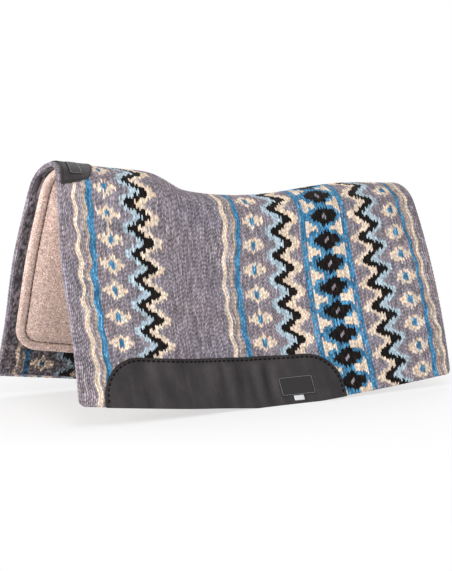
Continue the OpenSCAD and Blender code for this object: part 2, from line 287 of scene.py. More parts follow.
# %% [markdown]
# ## Tools for building closed cloth
# Every soft layer here is a grid of points that rolls round its own edges, and a plainer grid that
# closes its back. Modifiers such as Solidify could thicken a sheet, but they give a square edge and
# the same number of faces on both sides. Writing the grids lets the front be fine and the back
# coarse, and a zip of triangles joins the two, so the piece is closed like the real one.

# %% Grids and zips
def grid(rows, columns):
    """The row's and the column's value at each point of a grid."""
    return np.meshgrid(rows, columns, indexing="ij")


def grid_numbers(points, first=0):
    return np.arange(points.shape[0] * points.shape[1]).reshape(points.shape[:2]) + first


def cell_corners(g):
    """The four corners of each cell of a grid, in the order in which a face takes them."""
    return [g[:-1, :-1], g[:-1, 1:], g[1:, 1:], g[1:, :-1]]


def grid_faces(numbers):
    return np.stack(cell_corners(numbers), -1).reshape(-1, 4)


def border_lines(k):
    return k[0, :], k[:, -1], k[-1, ::-1], k[::-1, 0]


def distance_along(line):
    """How far along a line each of its points lies."""
    return np.r_[0, np.linalg.norm(np.diff(line, axis=0), axis=1).cumsum()]


def share_along(line):
    far = distance_along(line)
    return far / max(far[-1], TINY)


def zip_lines(points, a, b):
    """Triangles between two lines of point numbers that run side by side."""
    sa, sb = share_along(points[a]), share_along(points[b])
    made, i, j = [], 0, 0
    while i < len(a) - 1 or j < len(b) - 1:
        if j == len(b) - 1 or (i < len(a) - 1 and sa[i + 1] <= sb[j + 1]):
            made.append((a[i + 1], a[i], b[j]))
            i += 1
        else:
            made.append((a[i], b[j], b[j + 1]))
            j += 1
    return np.array(made)


def closed_cloth(front, back):
    """Points of a closed piece, and its faces: the front's, the back's and the zip's."""
    points = np.concatenate([front.reshape(-1, 3), back.reshape(-1, 3)])
    f, b = grid_numbers(front), grid_numbers(back, front.shape[0] * front.shape[1])
    zips = [zip_lines(points, *pair) for pair in zip(border_lines(f), border_lines(b))]
    return points, [grid_faces(f), grid_faces(b)[:, ::-1], np.concatenate(zips)]


print("faces of a grid of 3 by 3:", grid_faces(np.arange(9).reshape(3, 3)).tolist())

# %% Pieces
MM_IN_M = 1000


def volume(points, groups):
    """The volume inside the faces, below zero if they are inside out."""
    total = 0.0
    for g in groups:
        for k in range(1, g.shape[1] - 1):
            a, b, c = points[g[:, 0]], points[g[:, k]], points[g[:, k + 1]]
            total += (a * np.cross(b, c)).sum() / 6
    return total


def make_piece(name, points, groups, material):
    """A mesh object from points in millimetres and groups of faces, turned the right way out."""
    if volume(points, groups) < 0:
        groups = [g[:, ::-1] for g in groups]
    sizes = np.concatenate([np.full(len(g), g.shape[1]) for g in groups])
    corners = np.concatenate([g.ravel() for g in groups])
    mesh = bpy.data.meshes.new(name)
    mesh.vertices.add(len(points))
    mesh.vertices.foreach_set("co", (points / MM_IN_M).astype(np.float32).ravel())
    mesh.loops.add(len(corners))
    mesh.loops.foreach_set("vertex_index", corners.astype(np.int32))
    mesh.polygons.add(len(sizes))
    mesh.polygons.foreach_set("loop_start", np.r_[0, sizes.cumsum()[:-1]].astype(np.int32))
    mesh.polygons.foreach_set("use_smooth", np.full(len(sizes), True))
    mesh.update(calc_edges=True)
    mesh.validate()
    o = bpy.data.objects.new(name, mesh)
    scene.collection.objects.link(o)
    o.data.materials.append(material)
    print(name, "points", len(points), "triangles", int((sizes - 2).sum()))
    return o


def give_numbers(o, name, domain, groups):
    """Puts a number for the material on each face or point of a piece."""
    values = np.concatenate([np.ravel(group) for group in groups]).astype(np.float32)
    o.data.attributes.new(name, "FLOAT", domain).data.foreach_set("value", values)


# %% [markdown]
# The edges of cloth, felt and leather are round. A grid gets such an edge when the distance from it
# runs on below nought: the points then turn over the edge and come to lie on the back. Where two
# edges meet, the square rings of the grid are bent into round ones.

# %% Rolled edges
HEM_FADE = 60


def nearer_end(c, length):
    """Distance from the nearer end of a length, and whether that is the last one."""
    last = c > length / 2
    return np.where(last, length - c, c), last


def along(inset, last, length):
    """The other way round: a distance from the first end, from an inset at either end."""
    return np.where(last, length - inset, inset)


def wrap_round(radius):
    """How far a face runs on round an edge of this radius, past the edge's own line."""
    return radius * (np.pi - 1)


def edge_rows(radius, count):
    return np.linspace(-wrap_round(radius), radius, count)


def from_both_ends(first, between, length):
    return np.r_[first, between, (length - first)[::-1]]


def rolled(arc, radius):
    """Inset and depth, for a distance that runs over the face and on round its edge."""
    turn = np.clip((radius - arc) / radius, 0, np.pi)
    past = np.maximum(radius - arc - np.pi * radius, 0)
    inset = np.where(arc >= radius, arc, radius * (1 - np.sin(turn)) + past)
    return inset, radius * (1 - np.cos(turn))


def rounded_corner(a, b, corner, roll):
    """Insets from two edges, and depth, where both roll over and meet in a round corner."""
    ia, da = rolled(a, roll)
    ib, db = rolled(b, roll)
    inside = (a < corner) & (b < corner)
    u, w = corner - a, corner - b
    big = np.where(inside, np.maximum(u, w), 1.0)
    small = np.where(inside, np.minimum(u, w), 0.0)
    swing = np.pi / 4 * small / big
    swing = np.where(u >= w, swing, np.pi / 2 - swing)
    inset, depth = rolled(corner - big, roll)
    reach = corner - inset
    ia = np.where(inside, corner - reach * np.cos(swing), ia)
    ib = np.where(inside, corner - reach * np.sin(swing), ib)
    return ia, ib, np.where(inside, depth, np.maximum(da, db))


def hem_cut(x, depth, up_from_hem):
    """How much shorter a deeper layer is, so that the hem lies level across its thickness."""
    return depth / np.tan(section(x)[3]) * np.clip(1 - up_from_hem / HEM_FADE, 0, 1)


insets, depths = rolled(edge_rows(4, 5), 4)
print("round an edge of 4 mm:", list(zip(insets.round(1).tolist(), depths.round(1).tolist())))

# %% [markdown]
# ## The woven pattern
# The blanket is woven of thick two-ply wool. Each weft yarn floats over a few warps and shows as a
# short stroke about 3 mm wide and 8 mm long, out of step with its neighbours, and the motifs are
# drawn by changing the yarn from stroke to stroke. That is why their edges are jagged along the
# strokes. So the pattern is a question asked once per stroke: which yarn lies here? The measures
# are in millimetres from the front edge, and up from the hem. The motifs are plain traditional
# ones: stripes, diamonds and zigzags.

# %% Yarns, rows and zigzags
YARNS = GREY, CREAM, BLUE, SKY, BLACK, TAN, PALE = range(7)
ROW_PITCH, STROKES_TO_A_ROW, FIRST_ROW = 51.4, 6, -1.07
STROKE = ROW_PITCH / STROKES_TO_A_ROW
BLUNT, STEEP = 1.25, 5
ZIGZAG_HALF, SKY_WIDE, CREAM_WIDE = 11, 30, 32
SKY_BLUNT, CREAM_BLUNT = -0.65, 0.8


def smooth_step(value, low, high):
    t = np.clip((value - low) / (high - low), 0, 1)
    return t * t * (3 - 2 * t)


def bell(value, at, wide):
    """1 at a place, and down to nothing on both sides of it."""
    return np.exp(-(((value - at) / wide) ** 2))


def from_row(t):
    """Signed distance from the nearest row of diamonds."""
    return ((t - FIRST_ROW) / ROW_PITCH % 1 - 0.5) * ROW_PITCH


def zigzag(yarn, x, t, middle, swing, facing):
    """A black zigzag with blunt tips, cream on the side that it faces and pale blue behind."""
    turn = np.clip(BLUNT - STEEP * np.abs(from_row(t)) / ROW_PITCH, -1, 1)
    out = facing * (x - middle)
    d = out - swing * turn
    yarn[(out > swing * np.maximum(turn, SKY_BLUNT) - SKY_WIDE) & (d < 0)] = SKY
    yarn[(out < swing * np.minimum(turn, CREAM_BLUNT) + CREAM_WIDE) & (d > 0)] = CREAM
    yarn[np.abs(d) <= ZIGZAG_HALF] = BLACK


print("rows of diamonds, mm apart:", ROW_PITCH, "stroke, mm:", round(STROKE, 2))

# %% Diamonds and stripes
WINGED = ((6.5, 19.2), (17.5, 11.2), (28.5, 5.8))
POINTED = ((5, 19.5), (13.5, 14), (20.5, 9.5), (28, 5.4))
RHOMB = ((5, 21), (11.5, 18.5), (18, 14), (24.5, 10), (30.5, 6.5))
UNEVEN = 3
HEART_HALF, HEART_HEIGHT, HEART_SLOPE = 5.5, 8.2, 0.3
RING_HALF, RING_HEIGHT, RING_GAPS = 9, 12.5, 0.88
PALE_HALF, PALE_GAPS, TAN_HALF, TAN_GAPS, BLUE_HALF = 3.4, 0.25, 3.3, 0.08, 6.4


def stepped(dx, dt, chance, steps):
    """A diamond in steps from its middle out, each a reach and an uneven height."""
    inside = np.zeros(dx.shape, bool)
    for reach, height in steps:
        inside |= (dx < reach) & (dt < height + UNEVEN * (chance - 0.5))
    return inside


def cream_diamonds(yarn, x, t, at, steps, chance):
    """Stepped diamonds with a small blue heart and a few pale blue strokes round it."""
    dx, dt = np.abs(x - at), np.abs(from_row(t))
    yarn[stepped(dx, dt, chance, steps)] = CREAM
    heart = (dx < HEART_HALF) & (dt < HEART_HEIGHT - HEART_SLOPE * dx)
    yarn[(dx < RING_HALF) & (dt < RING_HEIGHT - dx) & ~heart & (chance > RING_GAPS)] = SKY
    yarn[heart] = BLUE


def stripe(yarn, x, at, half, dye, kept=True):
    yarn[(np.abs(x - at) < half) & kept] = dye


def border_group(yarn, x, t, chance, cream_at, cream_half, tan_at, blue_at, diamonds_at, steps):
    """A cream, a tan and a blue line, a faint pale one, and a column of diamonds beside them."""
    stripe(yarn, x, (cream_at + tan_at) / 2, PALE_HALF, PALE, chance > PALE_GAPS)
    stripe(yarn, x, tan_at, TAN_HALF, TAN, chance > TAN_GAPS)
    stripe(yarn, x, cream_at, cream_half, CREAM)
    stripe(yarn, x, blue_at, BLUE_HALF, BLUE)
    cream_diamonds(yarn, x, t, diamonds_at, steps, chance)


print("height of a winged diamond, mm:", 2 * WINGED[0][1])

# %% Centre band
BAND_FROM, BAND_TO, BAND_MIDDLE, BAND_BORDER = 558.0, 664.0, 614.3, 6
GREY_AT, GREY_HALF, GREY_GAPS = 49.5, 1.7, 0.75
TOOTH_IN, TOOTH_LONG, TOOTH_HALF, TOOTH_SLOPE, TOOTH_TIP = 8.5, 29, 20, 0.8, 5.2
EYE_HALF, EYE_HEIGHT = 4.4, 4.8


def centre_band(yarn, x, t, chance):
    """Black diamonds on blue, with cream teeth pointing in between them from both borders."""
    dx, dt = np.abs(x - BAND_MIDDLE), np.abs(from_row(t))
    yarn[(x > BAND_FROM - BAND_BORDER) & (x < BAND_TO + BAND_BORDER)] = BLUE
    from_middle = np.abs(x - (BAND_FROM + BAND_TO) / 2)
    stripe(yarn, from_middle, GREY_AT, GREY_HALF, GREY, chance > GREY_GAPS)
    inward = np.minimum(x - BAND_FROM - TOOTH_IN, BAND_TO - TOOTH_IN - x)
    tooth = ROW_PITCH / 2 - dt < np.maximum(TOOTH_HALF - TOOTH_SLOPE * inward, TOOTH_TIP)
    yarn[(inward > 0) & (inward < TOOTH_LONG) & tooth] = CREAM
    yarn[stepped(dx, dt, chance, RHOMB)] = BLACK
    yarn[(dx < EYE_HALF) & (dt < EYE_HEIGHT)] = GREY


print("centre band, mm wide:", BAND_TO - BAND_FROM + 2 * BAND_BORDER)

# %% [markdown]
# On the loom the stripes run straight, and the weaving pulls them towards the diamonds beside them.
# That sway is kept apart from the pattern, as a pull on the cloth, so whole ribs bend and a stripe
# stays smooth instead of jumping from rib to rib. The rows also hang a stroke lower before the
# centre band, and by the far hem the motifs sit a little higher and closer to the front.

# %% Which yarn lies where
HEM_SAG, SAG_FROM, SAG_TO = 8.57, (330, 400), (530, 610)
CENTRE_RISE, SWING, SELVEDGE = 5.0, 2.6, 14
FAR_HEM, CLOSER, CLOSER_TO, HIGHER = (120, 330), 0.1, (130, 330), 14
DRAWN_BACK, DRAWN_ON = 4.5, 6
FRONT_LINES = dict(cream_at=33, cream_half=4.4, tan_at=50, blue_at=60,
                   diamonds_at=99, steps=WINGED)
MIDDLE_LINES = dict(cream_at=361, cream_half=4.4, tan_at=380, blue_at=391,
                    diamonds_at=433.7, steps=WINGED)
REAR_LINES = dict(cream_at=842, cream_half=3.2, tan_at=834, blue_at=822,
                  diamonds_at=790, steps=POINTED)


def sagged(x, t):
    """Heights in the pattern, whose rows hang lower between the middle lines and the band."""
    return t - HEM_SAG * smooth_step(x, *SAG_FROM) * (1 - smooth_step(x, *SAG_TO))


def pulled(x, t):
    """How far the cloth is pulled along the pad: a sum of tugs, each at a place with a reach."""
    t = sagged(x, t)
    swing = SWING * np.cos(2 * np.pi * from_row(t) / ROW_PITCH)
    low, climb = 1 - smooth_step(t, 60, 170), smooth_step(t, 60, 235)
    high = smooth_step(t, 235, 400)
    tugs = ((33, 40, swing), (46, 40, 4 * low), (33, 15, 5 - 5 * climb - 5 * high),
            (361, 40, swing), (376, 40, 4 * low + 10 * smooth_step(t, 260, 360)),
            (842, 40, -swing), (842, 15, 8 - 16 * climb + 4 * high),
            (822, 15, -2 + 5 * climb - 11 * high))
    pull = sum(tug * bell(x, at, reach) for at, reach, tug in tugs)
    return pull * smooth_step(np.minimum(x, PAD_LENGTH - x), 0, SELVEDGE)


def as_woven(x, t, side):
    """Where a place on the cloth lies in the pattern, which is shifted by the far hem."""
    by_hem = (side > 0) * (1 - smooth_step(t, *FAR_HEM))
    return x + CLOSER * x * (1 - smooth_step(x, *CLOSER_TO)) * by_hem, t - HIGHER * by_hem


def yarn_at(x, t, chance):
    """The yarn at distances from the front and up from the hem. The withers draw it back."""
    t = sagged(x, t)
    front = 1 - smooth_step(x, 230, 330)
    x = x - DRAWN_BACK * np.clip((t - 200) / 150, 0, 1) * np.clip((150 - x) / 90, 0, 1)
    x = x + DRAWN_ON * smooth_step(t, 330, 440) * smooth_step(x, 60, 150) * front
    yarn = np.zeros(x.shape, int)
    border_group(yarn, x, t, chance, **FRONT_LINES)
    zigzag(yarn, x, t, middle=172, swing=18, facing=1)
    border_group(yarn, x, t, chance, **MIDDLE_LINES)
    zigzag(yarn, x, t, middle=505, swing=16.5, facing=1)
    centre_band(yarn, x, t - CENTRE_RISE, chance)
    zigzag(yarn, x, t, middle=720, swing=17.5, facing=-1)
    border_group(yarn, x, t, chance, **REAR_LINES)
    return yarn


test_x, test_t = grid(np.arange(2, PAD_LENGTH, 4.0), np.arange(2, 480, 4.0))
counted = np.bincount(yarn_at(test_x, test_t, np.full(test_x.shape, 0.5)).ravel(), minlength=7)
print("share of each yarn:", np.round(counted / counted.sum(), 2))

# %% [markdown]
# ## The wool
# Wool scatters light between its fibres, so it is rough, with a faint sheen where the fibres stand
# against the light. Each stroke of the weave carries three numbers on its faces: which yarn it is,
# how light its bit of yarn came out of the dye, and how warm. Two colour ramps turn the first into
# a cool and a warm dye, the third mixes them, and the second lightens or darkens the mix. Each
# point carries its rise, which darkens the colour as painted shade in the valleys between strokes,
# where little light falls, and a fine noise stretched along the strokes gives the fibres.

# %% Colours and noises
def linear(red, green, blue):
    """A colour from 0 to 255, as a picture program writes it, in Blender's linear values."""
    c = np.array([red, green, blue]) / 255
    return (*np.where(c <= 0.04045, c / 12.92, ((c + 0.055) / 1.055) ** 2.4), 1.0)


def number_on(tree, name):
    """A number that the piece carries on its faces or points."""
    return add(tree, "Attribute", attribute_name=name).outputs["Fac"]


def own_space(tree):
    return add(tree, "TexCoord").outputs["Object"]


def noise(tree, scale, detail=3.0, stretch=None):
    """Noise in the object's own space, scale in waves to the metre, drawn out by stretch."""
    at = own_space(tree)
    if stretch:
        at = add(tree, "Mapping", [("Vector", at), ("Scale", stretch)]).outputs[0]
    grain = [("Vector", at), ("Scale", scale), ("Detail", detail)]
    return add(tree, "TexNoise", grain).outputs["Fac"]


def ramp(tree, source, stops, hard=False):
    """A colour for each value of the source, from stops of a value and a colour."""
    node = add(tree, "ValToRGB", [("Fac", source)])
    node.color_ramp.interpolation = "CONSTANT" if hard else "LINEAR"
    elements = node.color_ramp.elements
    while len(elements) < len(stops):
        elements.new(0.5)
    for element, (at, colour) in zip(elements, stops):
        element.position, element.color = at, linear(*colour)
    return node.outputs["Color"]


def shade(tree, colour, by, low, high, start=0.0):
    """The colour multiplied by a value that runs from low to high as by runs from start to 1."""
    ends = [("From Min", start), ("To Min", low), ("To Max", high)]
    level = add(tree, "MapRange", [("Value", by), *ends]).outputs["Result"]
    scaled = [(0, colour), ("Scale", level)]
    return add(tree, "VectorMath", scaled, operation="SCALE").outputs[0]


def finish_surface(tree, shader, colour, height, strength, distance):
    """Gives the shader its colour, and a bump of this strength and distance in metres."""
    tree.links.new(colour, shader.inputs["Base Color"])
    relief = [("Height", height), ("Strength", strength), ("Distance", distance)]
    node = add(tree, "Bump", relief)
    tree.links.new(node.outputs["Normal"], shader.inputs["Normal"])


print("mid grey in linear values:", [round(float(v), 3) for v in linear(128, 128, 128)])

# %% Wool material
YARN_STEPS = 8
COOL = {GREY: (151, 146, 158), CREAM: (231, 217, 202), BLUE: (96, 160, 198), SKY: (190, 206, 216),
        BLACK: (5, 5, 8), TAN: (190, 176, 164), PALE: (174, 166, 171)}
WARM = {GREY: (163, 149, 155), CREAM: (238, 210, 183), BLUE: (54, 116, 160), SKY: (172, 194, 208),
        BLACK: (35, 25, 21), TAN: (199, 176, 157), PALE: (182, 168, 163)}
wool, tree, shader = start_material("woven_wool", 0.92, 0.07, 0.6, specular=0.08)
which, tone, hue, rise = [number_on(tree, name) for name in ("yarn", "tone", "hue", "rise")]
cool, warm = [ramp(tree, which, [(k / YARN_STEPS, dyes[k]) for k in YARNS], hard=True)
              for dyes in (COOL, WARM)]
mixed = [("Fac", hue), ("Color1", cool), ("Color2", warm)]
dye = add(tree, "MixRGB", mixed).outputs["Color"]
fibre = noise(tree, 900, 2.0, (1.6, 1.0, 0.5))
# the rise paints shade into the valleys between strokes
dyed = shade(tree, shade(tree, dye, tone, 0.0, 2.0), rise, 0.2, 1.3)
finish_surface(tree, shader, shade(tree, dyed, fibre, 0.75, 1.25), fibre, 0.5, 0.0006)
print("dyes:", len(COOL) + len(WARM))

# %% [markdown]
# ## The blanket
# One thick cloth covers the whole pad. A bump map could draw its weave, but the strokes are real
# relief here, so the cloth looks woven from close by and at its edges: each stroke has a crest
# along its middle, dives at both ends under a warp, some deeper than others, and leans a little to
# one side. The cloth is made in three pieces, as the frame is: two sides, each fastened to its side
# of the frame, and a strip over the ridge. They meet point to point, so no line shows between them.

# %% Weave
BLANKET_THICK, BLANKET_CORNER, RIDGE_HALF = 9.0, 12.0, 60.0
EDGE = BLANKET_THICK / 2
WRAP = wrap_round(EDGE)
RIBS, STROKE_ROWS = 264, 3
ROW_STEP = STROKE / STROKE_ROWS
CREST, VALLEY, DIVE, BORDER_DIVE = 0.33, -0.62, (-0.6, 0.25), -0.35
CREST_UNEVEN, VALLEY_UNEVEN, SLIP, LEAN = 0.13, 0.24, 0.25, 0.7
rib_edges = np.linspace(-WRAP, PAD_LENGTH + WRAP, 2 * RIBS + 1)
chances = np.random.default_rng(11)
rib_offset = chances.integers(0, STROKE_ROWS, RIBS)


def weave_relief(rows):
    """Height of the strokes at each point of a grid, and how far it slips and leans."""
    k, c = grid(np.arange(rows + 1), np.arange(2 * RIBS + 1))
    rib, crest = np.minimum(c // 2, RIBS - 1), c % 2 == 1
    phase = (k - rib_offset[rib]) % STROKE_ROWS
    inner = (k > 0) & (k < rows)
    dive = np.where(inner, chances.uniform(*DIVE, c.shape), BORDER_DIVE)
    height = np.where(crest, np.where(phase == 0, dive, CREST), VALLEY)
    uneven = chances.uniform(-1, 1, c.shape) * np.where(crest, CREST_UNEVEN, VALLEY_UNEVEN)
    slip = np.where(inner, chances.uniform(-SLIP, SLIP, 2 * RIBS + 1)[c], 0.0)
    lean = np.where(crest & inner, LEAN * (1.0 - phase), 0.0)
    return height + np.where(inner, uneven, 0), slip, lean


def stroke_numbers(rows):
    """For each cell of the grid, its rib and its stroke, and for each stroke its middle row."""
    k, c = grid(np.arange(rows), np.arange(2 * RIBS))
    rib, before = c // 2, (STROKE_ROWS - rib_offset) % STROKE_ROWS
    stroke = (k + before[rib]) // STROKE_ROWS
    ribs, strokes = grid(np.arange(RIBS), np.arange(stroke.max() + 1))
    middle = (strokes + 0.5) * STROKE_ROWS - before[ribs]
    return rib, stroke, np.clip(middle, 0, rows)


print("ribs:", RIBS, "each", round(PAD_LENGTH / RIBS, 2), "mm wide")

# %% [markdown]
# Wool yarn isn't even. The dye comes out lighter and darker along it, and the grey warmer in some
# places than in others. Each yarn has its own spread of tones here, and a fleck runs on into the
# next stroke of its rib. One noise texture over all could do this too, but it would run across
# neighbouring ribs, which on the real cloth are different lengths of yarn.

# %% Dyed strokes
SPREAD = np.array([0.23, 0.16, 0.26, 0.17, 0.4, 0.2, 0.22])
LOOSE = np.array([0, 0.3, 0.15, 0.3, 0, 0.2, 0.2])
FLECK, MOST_FLECK, BATCH_SHARE = 0.75, 2, 0.6
LOWEST, RELIEF = -0.7, 1.1


def dye_strokes(x, t):
    """Yarn, tone and hue of every stroke."""
    yarn = yarn_at(x, t, chances.uniform(0, 1, x.shape))
    fleck = chances.normal(0, FLECK, x.shape)
    fleck = (fleck + np.roll(fleck, 1, axis=1)).clip(-MOST_FLECK, MOST_FLECK)
    hue = chances.uniform(0, 1, x.shape)
    batch = np.sin(x / 31 + 1.3 * np.sin(t / 47)) + np.sin(t / 23 + 1.1 * np.sin(x / 53))
    grey_hue = (1 - BATCH_SHARE) * hue + BATCH_SHARE * (0.5 + 0.25 * batch)
    return yarn, 0.5 * np.exp(fleck * SPREAD[yarn]), np.where(yarn == GREY, grey_hue, hue)


def rise_of(height, yarn):
    """Rise of each point, from 0 in a valley to 1 on a crest, which sets the painted shade in the
    valleys. Loose yarns fill their valleys, so they get less of it.
    """
    loose = np.pad(LOOSE[yarn], 1, mode="edge")
    return 1 - (1 - (height - LOWEST) / RELIEF) * (1 - sum(cell_corners(loose)) / 4)


darkest = np.exp(-2 * MOST_FLECK * SPREAD[GREY])
print("darkest grey stroke, as a share of the lightest:", round(float(darkest), 2))

# %% [markdown]
# The back of the cloth shows the same yarns, with painted shade that makes them a good deal darker,
# in a strip along the hem and at the two ends where the liner leaves it bare. Its grid has a cell
# or two to a stroke there, and long cells under the liner, where nobody looks and the triangles are
# better spent on the front.

# %% One piece of blanket
PAINTED_BACK_SHADE = np.array([0.28, 0.48, 0.26, 0.36, 0.22, 0.4, 0.32])
BACK_UNEVEN, PAINTED_BACK_WARMTH = (0.45, 1.8), 0.4
ZIP_TONE, ZIP_HUE = 0.4, 0.5
MAP_SIDES, FRONT_MAP, BACK_MAP = (0.005, 0.995), (0.14, 0.995), (0.02, 0.12)
ZIP_MAP = [[0.1, 0.004], [0.6, 0.004], [0.3, 0.012]]


def out_of(points):
    """Unit normals of a grid of points."""
    return unit(np.cross(np.gradient(points, axis=1), np.gradient(points, axis=0)))


def flat_map(shape, low, high):
    """Texture places for a grid's faces, corner by corner in the order of grid_faces."""
    v, u = grid(np.linspace(low, high, shape[0]), np.linspace(*MAP_SIDES, shape[1]))
    return np.stack(cell_corners(np.stack([u, v], -1)), 2).reshape(-1, 4, 2)


def blanket_piece(name, side, rows, place, stroke_t, back, back_at):
    """A woven piece with its strokes in relief, their numbers and a texture map for baking."""
    height, slip, lean = weave_relief(rows)
    k, c = grid(np.arange(rows + 1.0), rib_edges)
    pull = pulled(*as_woven(np.clip(c, 0, PAD_LENGTH), stroke_t(c, k), side))
    front = place(np.clip(c + lean + pull, rib_edges[0], rib_edges[-1]), k + slip)
    sign = 1 if volume(*closed_cloth(front, back)) > 0 else -1
    front = front + sign * height[..., None] * out_of(front)
    front[..., 2] = np.maximum(front[..., 2], 0)
    points, groups = closed_cloth(front, back)
    groups = [g[:, ::sign] for g in groups]
    o = make_piece(name, points, groups, wool)
    *stroke, middle = stroke_numbers(rows)
    stroke = tuple(stroke)
    x = rib_edges[1::2, None] + 0 * middle
    dyes = dye_strokes(*as_woven(np.clip(x, 0, PAD_LENGTH), stroke_t(x, middle), side))
    yarn, tone, hue = [dye[stroke] for dye in dyes]
    back_x, back_t = as_woven(*back_at, side)
    back_yarn, back_tone, back_hue = dye_strokes(back_x - pulled(back_x, back_t), back_t)
    # painted shade: each yarn on the back is darkened by its own share
    back_tone = PAINTED_BACK_SHADE[back_yarn] * back_tone * chances.uniform(*BACK_UNEVEN, back_tone.shape)
    # painted warm light bounced off the felt: the back's strokes lean towards the warm dyes
    back_hue = PAINTED_BACK_WARMTH + (1 - PAINTED_BACK_WARMTH) * back_hue
    zips = len(groups[2])
    numbers = [(group + 0.5) / YARN_STEPS for group in (yarn, back_yarn, np.zeros(zips))]
    give_numbers(o, "yarn", "FACE", numbers)
    give_numbers(o, "tone", "FACE", [tone, back_tone, np.full(zips, ZIP_TONE)])
    give_numbers(o, "hue", "FACE", [hue, back_hue, np.full(zips, ZIP_HUE)])
    give_numbers(o, "rise", "POINT", [rise_of(height, yarn), chances.uniform(0, 1, back.shape[:2])])
    maps = [flat_map(front.shape, *FRONT_MAP)[:, ::sign].reshape(-1, 2),
            flat_map(back.shape, *BACK_MAP)[:, ::-sign].reshape(-1, 2), np.tile(ZIP_MAP, (zips, 1))]
    places = np.concatenate(maps).astype(np.float32)
    o.data.uv_layers.new(name="OFBake").uv.foreach_set("vector", places.ravel())
    return o


print("tone of the back, as a share of the front's:", PAINTED_BACK_SHADE.tolist())

# %% Blanket shapes
SIDE_ROWS, EVEN_ROWS, RIDGE_ROWS = 51 * STROKE_ROWS, 39 * STROKE_ROWS, 14 * STROKE_ROWS
BACK_EDGE, FINE_HEM = EDGE + 2.5, 90
fine_front, fine_rear = [np.arange(BACK_EDGE, reach, PAD_LENGTH / RIBS) for reach in (195, 130)]
under_liner = np.linspace(203, PAD_LENGTH - 140, 64)
BACK_COLUMNS = np.r_[fine_front, under_liner, (PAD_LENGTH - fine_rear)[::-1]]
BACK_HEM = np.r_[np.arange(BACK_EDGE, FINE_HEM, STROKE / 2), np.arange(96, 420, 0.75 * STROKE)]


def cell_middles(g):
    return (g[:-1, :-1] + g[1:, 1:]) / 2


def side_points(c, b, side):
    """Points of a side from distances along it and up from its hem, rolled over its free edges."""
    a, rear = nearer_end(c, PAD_LENGTH)
    ia, ib, depth = rounded_corner(a, b, BLANKET_CORNER, EDGE)
    x = along(ia, rear, PAD_LENGTH)
    return lay(x, side * (drop(x) - ib - hem_cut(x, depth, b)), depth)


def side_height(x, row):
    """Distance up from the hem at a row: even ones, and the last ones fit the curved top."""
    top = drop(np.clip(x, 0, PAD_LENGTH)) - RIDGE_HALF
    even = row * ROW_STEP - WRAP
    last = EVEN_ROWS * ROW_STEP - WRAP
    share = (row - EVEN_ROWS) / (SIDE_ROWS - EVEN_ROWS)
    return np.where(row <= EVEN_ROWS, even, last + share * (top - last))


def blanket_side(name, side):
    b, c = grid(np.r_[BACK_HEM, 0], BACK_COLUMNS)
    top = drop(c) - RIDGE_HALF
    b[-1] = top[-1]
    b = np.minimum(b, top)
    back = lay(c, side * (drop(c) - b - hem_cut(c, BLANKET_THICK, b)), BLANKET_THICK)
    bc, bt = cell_middles(c), cell_middles(b)
    brick = STROKE / 2 * (np.arange(bc.shape[1]) % 2)
    bt = np.where(bt < FINE_HEM, np.floor((bt + brick) / STROKE + 0.5) * STROKE - brick, bt)
    return blanket_piece(name, side, SIDE_ROWS,
                         lambda x, row: side_points(x, side_height(x, row), side),
                         side_height, back, (bc, bt))


def ridge_points(c, row):
    """Points of the strip over the ridge, rolled over its two ends."""
    a, rear = nearer_end(c, PAD_LENGTH)
    inset, depth = rolled(a, EDGE)
    return lay(along(inset, rear, PAD_LENGTH), ridge_across(row), depth)


def ridge_across(row):
    return -RIDGE_HALF + row / RIDGE_ROWS * 2 * RIDGE_HALF


def ridge_height(x, row):
    return drop(np.clip(x, 0, PAD_LENGTH)) - np.abs(ridge_across(row))


def blanket_over_ridge(name):
    s, c = grid(np.linspace(-RIDGE_HALF, RIDGE_HALF, 13), BACK_COLUMNS)
    bc, bs = cell_middles(c), cell_middles(s)
    return blanket_piece(name, 0, RIDGE_ROWS, ridge_points, ridge_height,
                         lay(c, s, BLANKET_THICK), (bc, drop(bc) - np.abs(bs)))


print("cells of a side's back:", len(BACK_HEM), "by", len(BACK_COLUMNS) - 1)


def fasten(o, slot, *nodes, body=None):
    """Gives a piece its body, or bakes its placing into its mesh, and hides the solids it stands
    for. The slot is not used.
    """
    if body:
        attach(o, body)
    else:
        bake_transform(o)
    if nodes:
        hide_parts(*nodes)


blanket_near = blanket_side("woven_blanket_near", -1)
blanket_far = blanket_side("woven_blanket_far", 1)
blanket_ridge = blanket_over_ridge("woven_blanket_ridge")
fasten(blanket_near, "woven_wool", "blanket_near", body="near_side")
fasten(blanket_far, "woven_wool", "blanket_far", body="far_side")
fasten(blanket_ridge, "woven_wool", "blanket_ridge")

# %% [markdown]
# ## The felt liner
# Against the horse lies a thick felt of mixed pale and brown fibres. It is sewn down along a groove
# 20 mm inside its edge, which leaves a rounded rim outside the groove, and inside it the felt
# swells over the foam core. Blender's cloth finds that swell: a panel the size of the pocket is
# sewn down along its edge, settles under a light pressure, and its heights are added to the
# profile of rim, groove and slope. Over the ridge the felt lies flat, which keeps the padding off
# the spine.

# %% Felt material
FELT_DYES = [(0.28, (130, 99, 87)), (0.43, (187, 158, 146)),
             (0.57, (218, 194, 184)), (0.74, (251, 238, 231))]
felt, tree, shader = start_material("wool_felt", 0.95, 0.25, 0.5, specular=0.1)
mottle = noise(tree, 430, 6.0)
hairs = noise(tree, 1500, 3.0)
seam_press_and_painted_felt_light = number_on(tree, "seam_press_and_painted_felt_light")
colour = shade(tree, ramp(tree, mottle, FELT_DYES), hairs, 0.72, 1.28)
colour = shade(tree, colour, noise(tree, 170, 2.0), 0.5, 1.5)
colour = shade(tree, colour, noise(tree, 45, 2.0), 0.82, 1.18)
# painted shade in the sewn groove and towards the hem, and a painted highlight along the cut edge
colour = shade(tree, colour, seam_press_and_painted_felt_light, 1.4, 0.6, start=-1.0)
finish_surface(tree, shader, colour, hairs, 0.7, 0.001)
print("felt nodes:", len(tree.nodes))

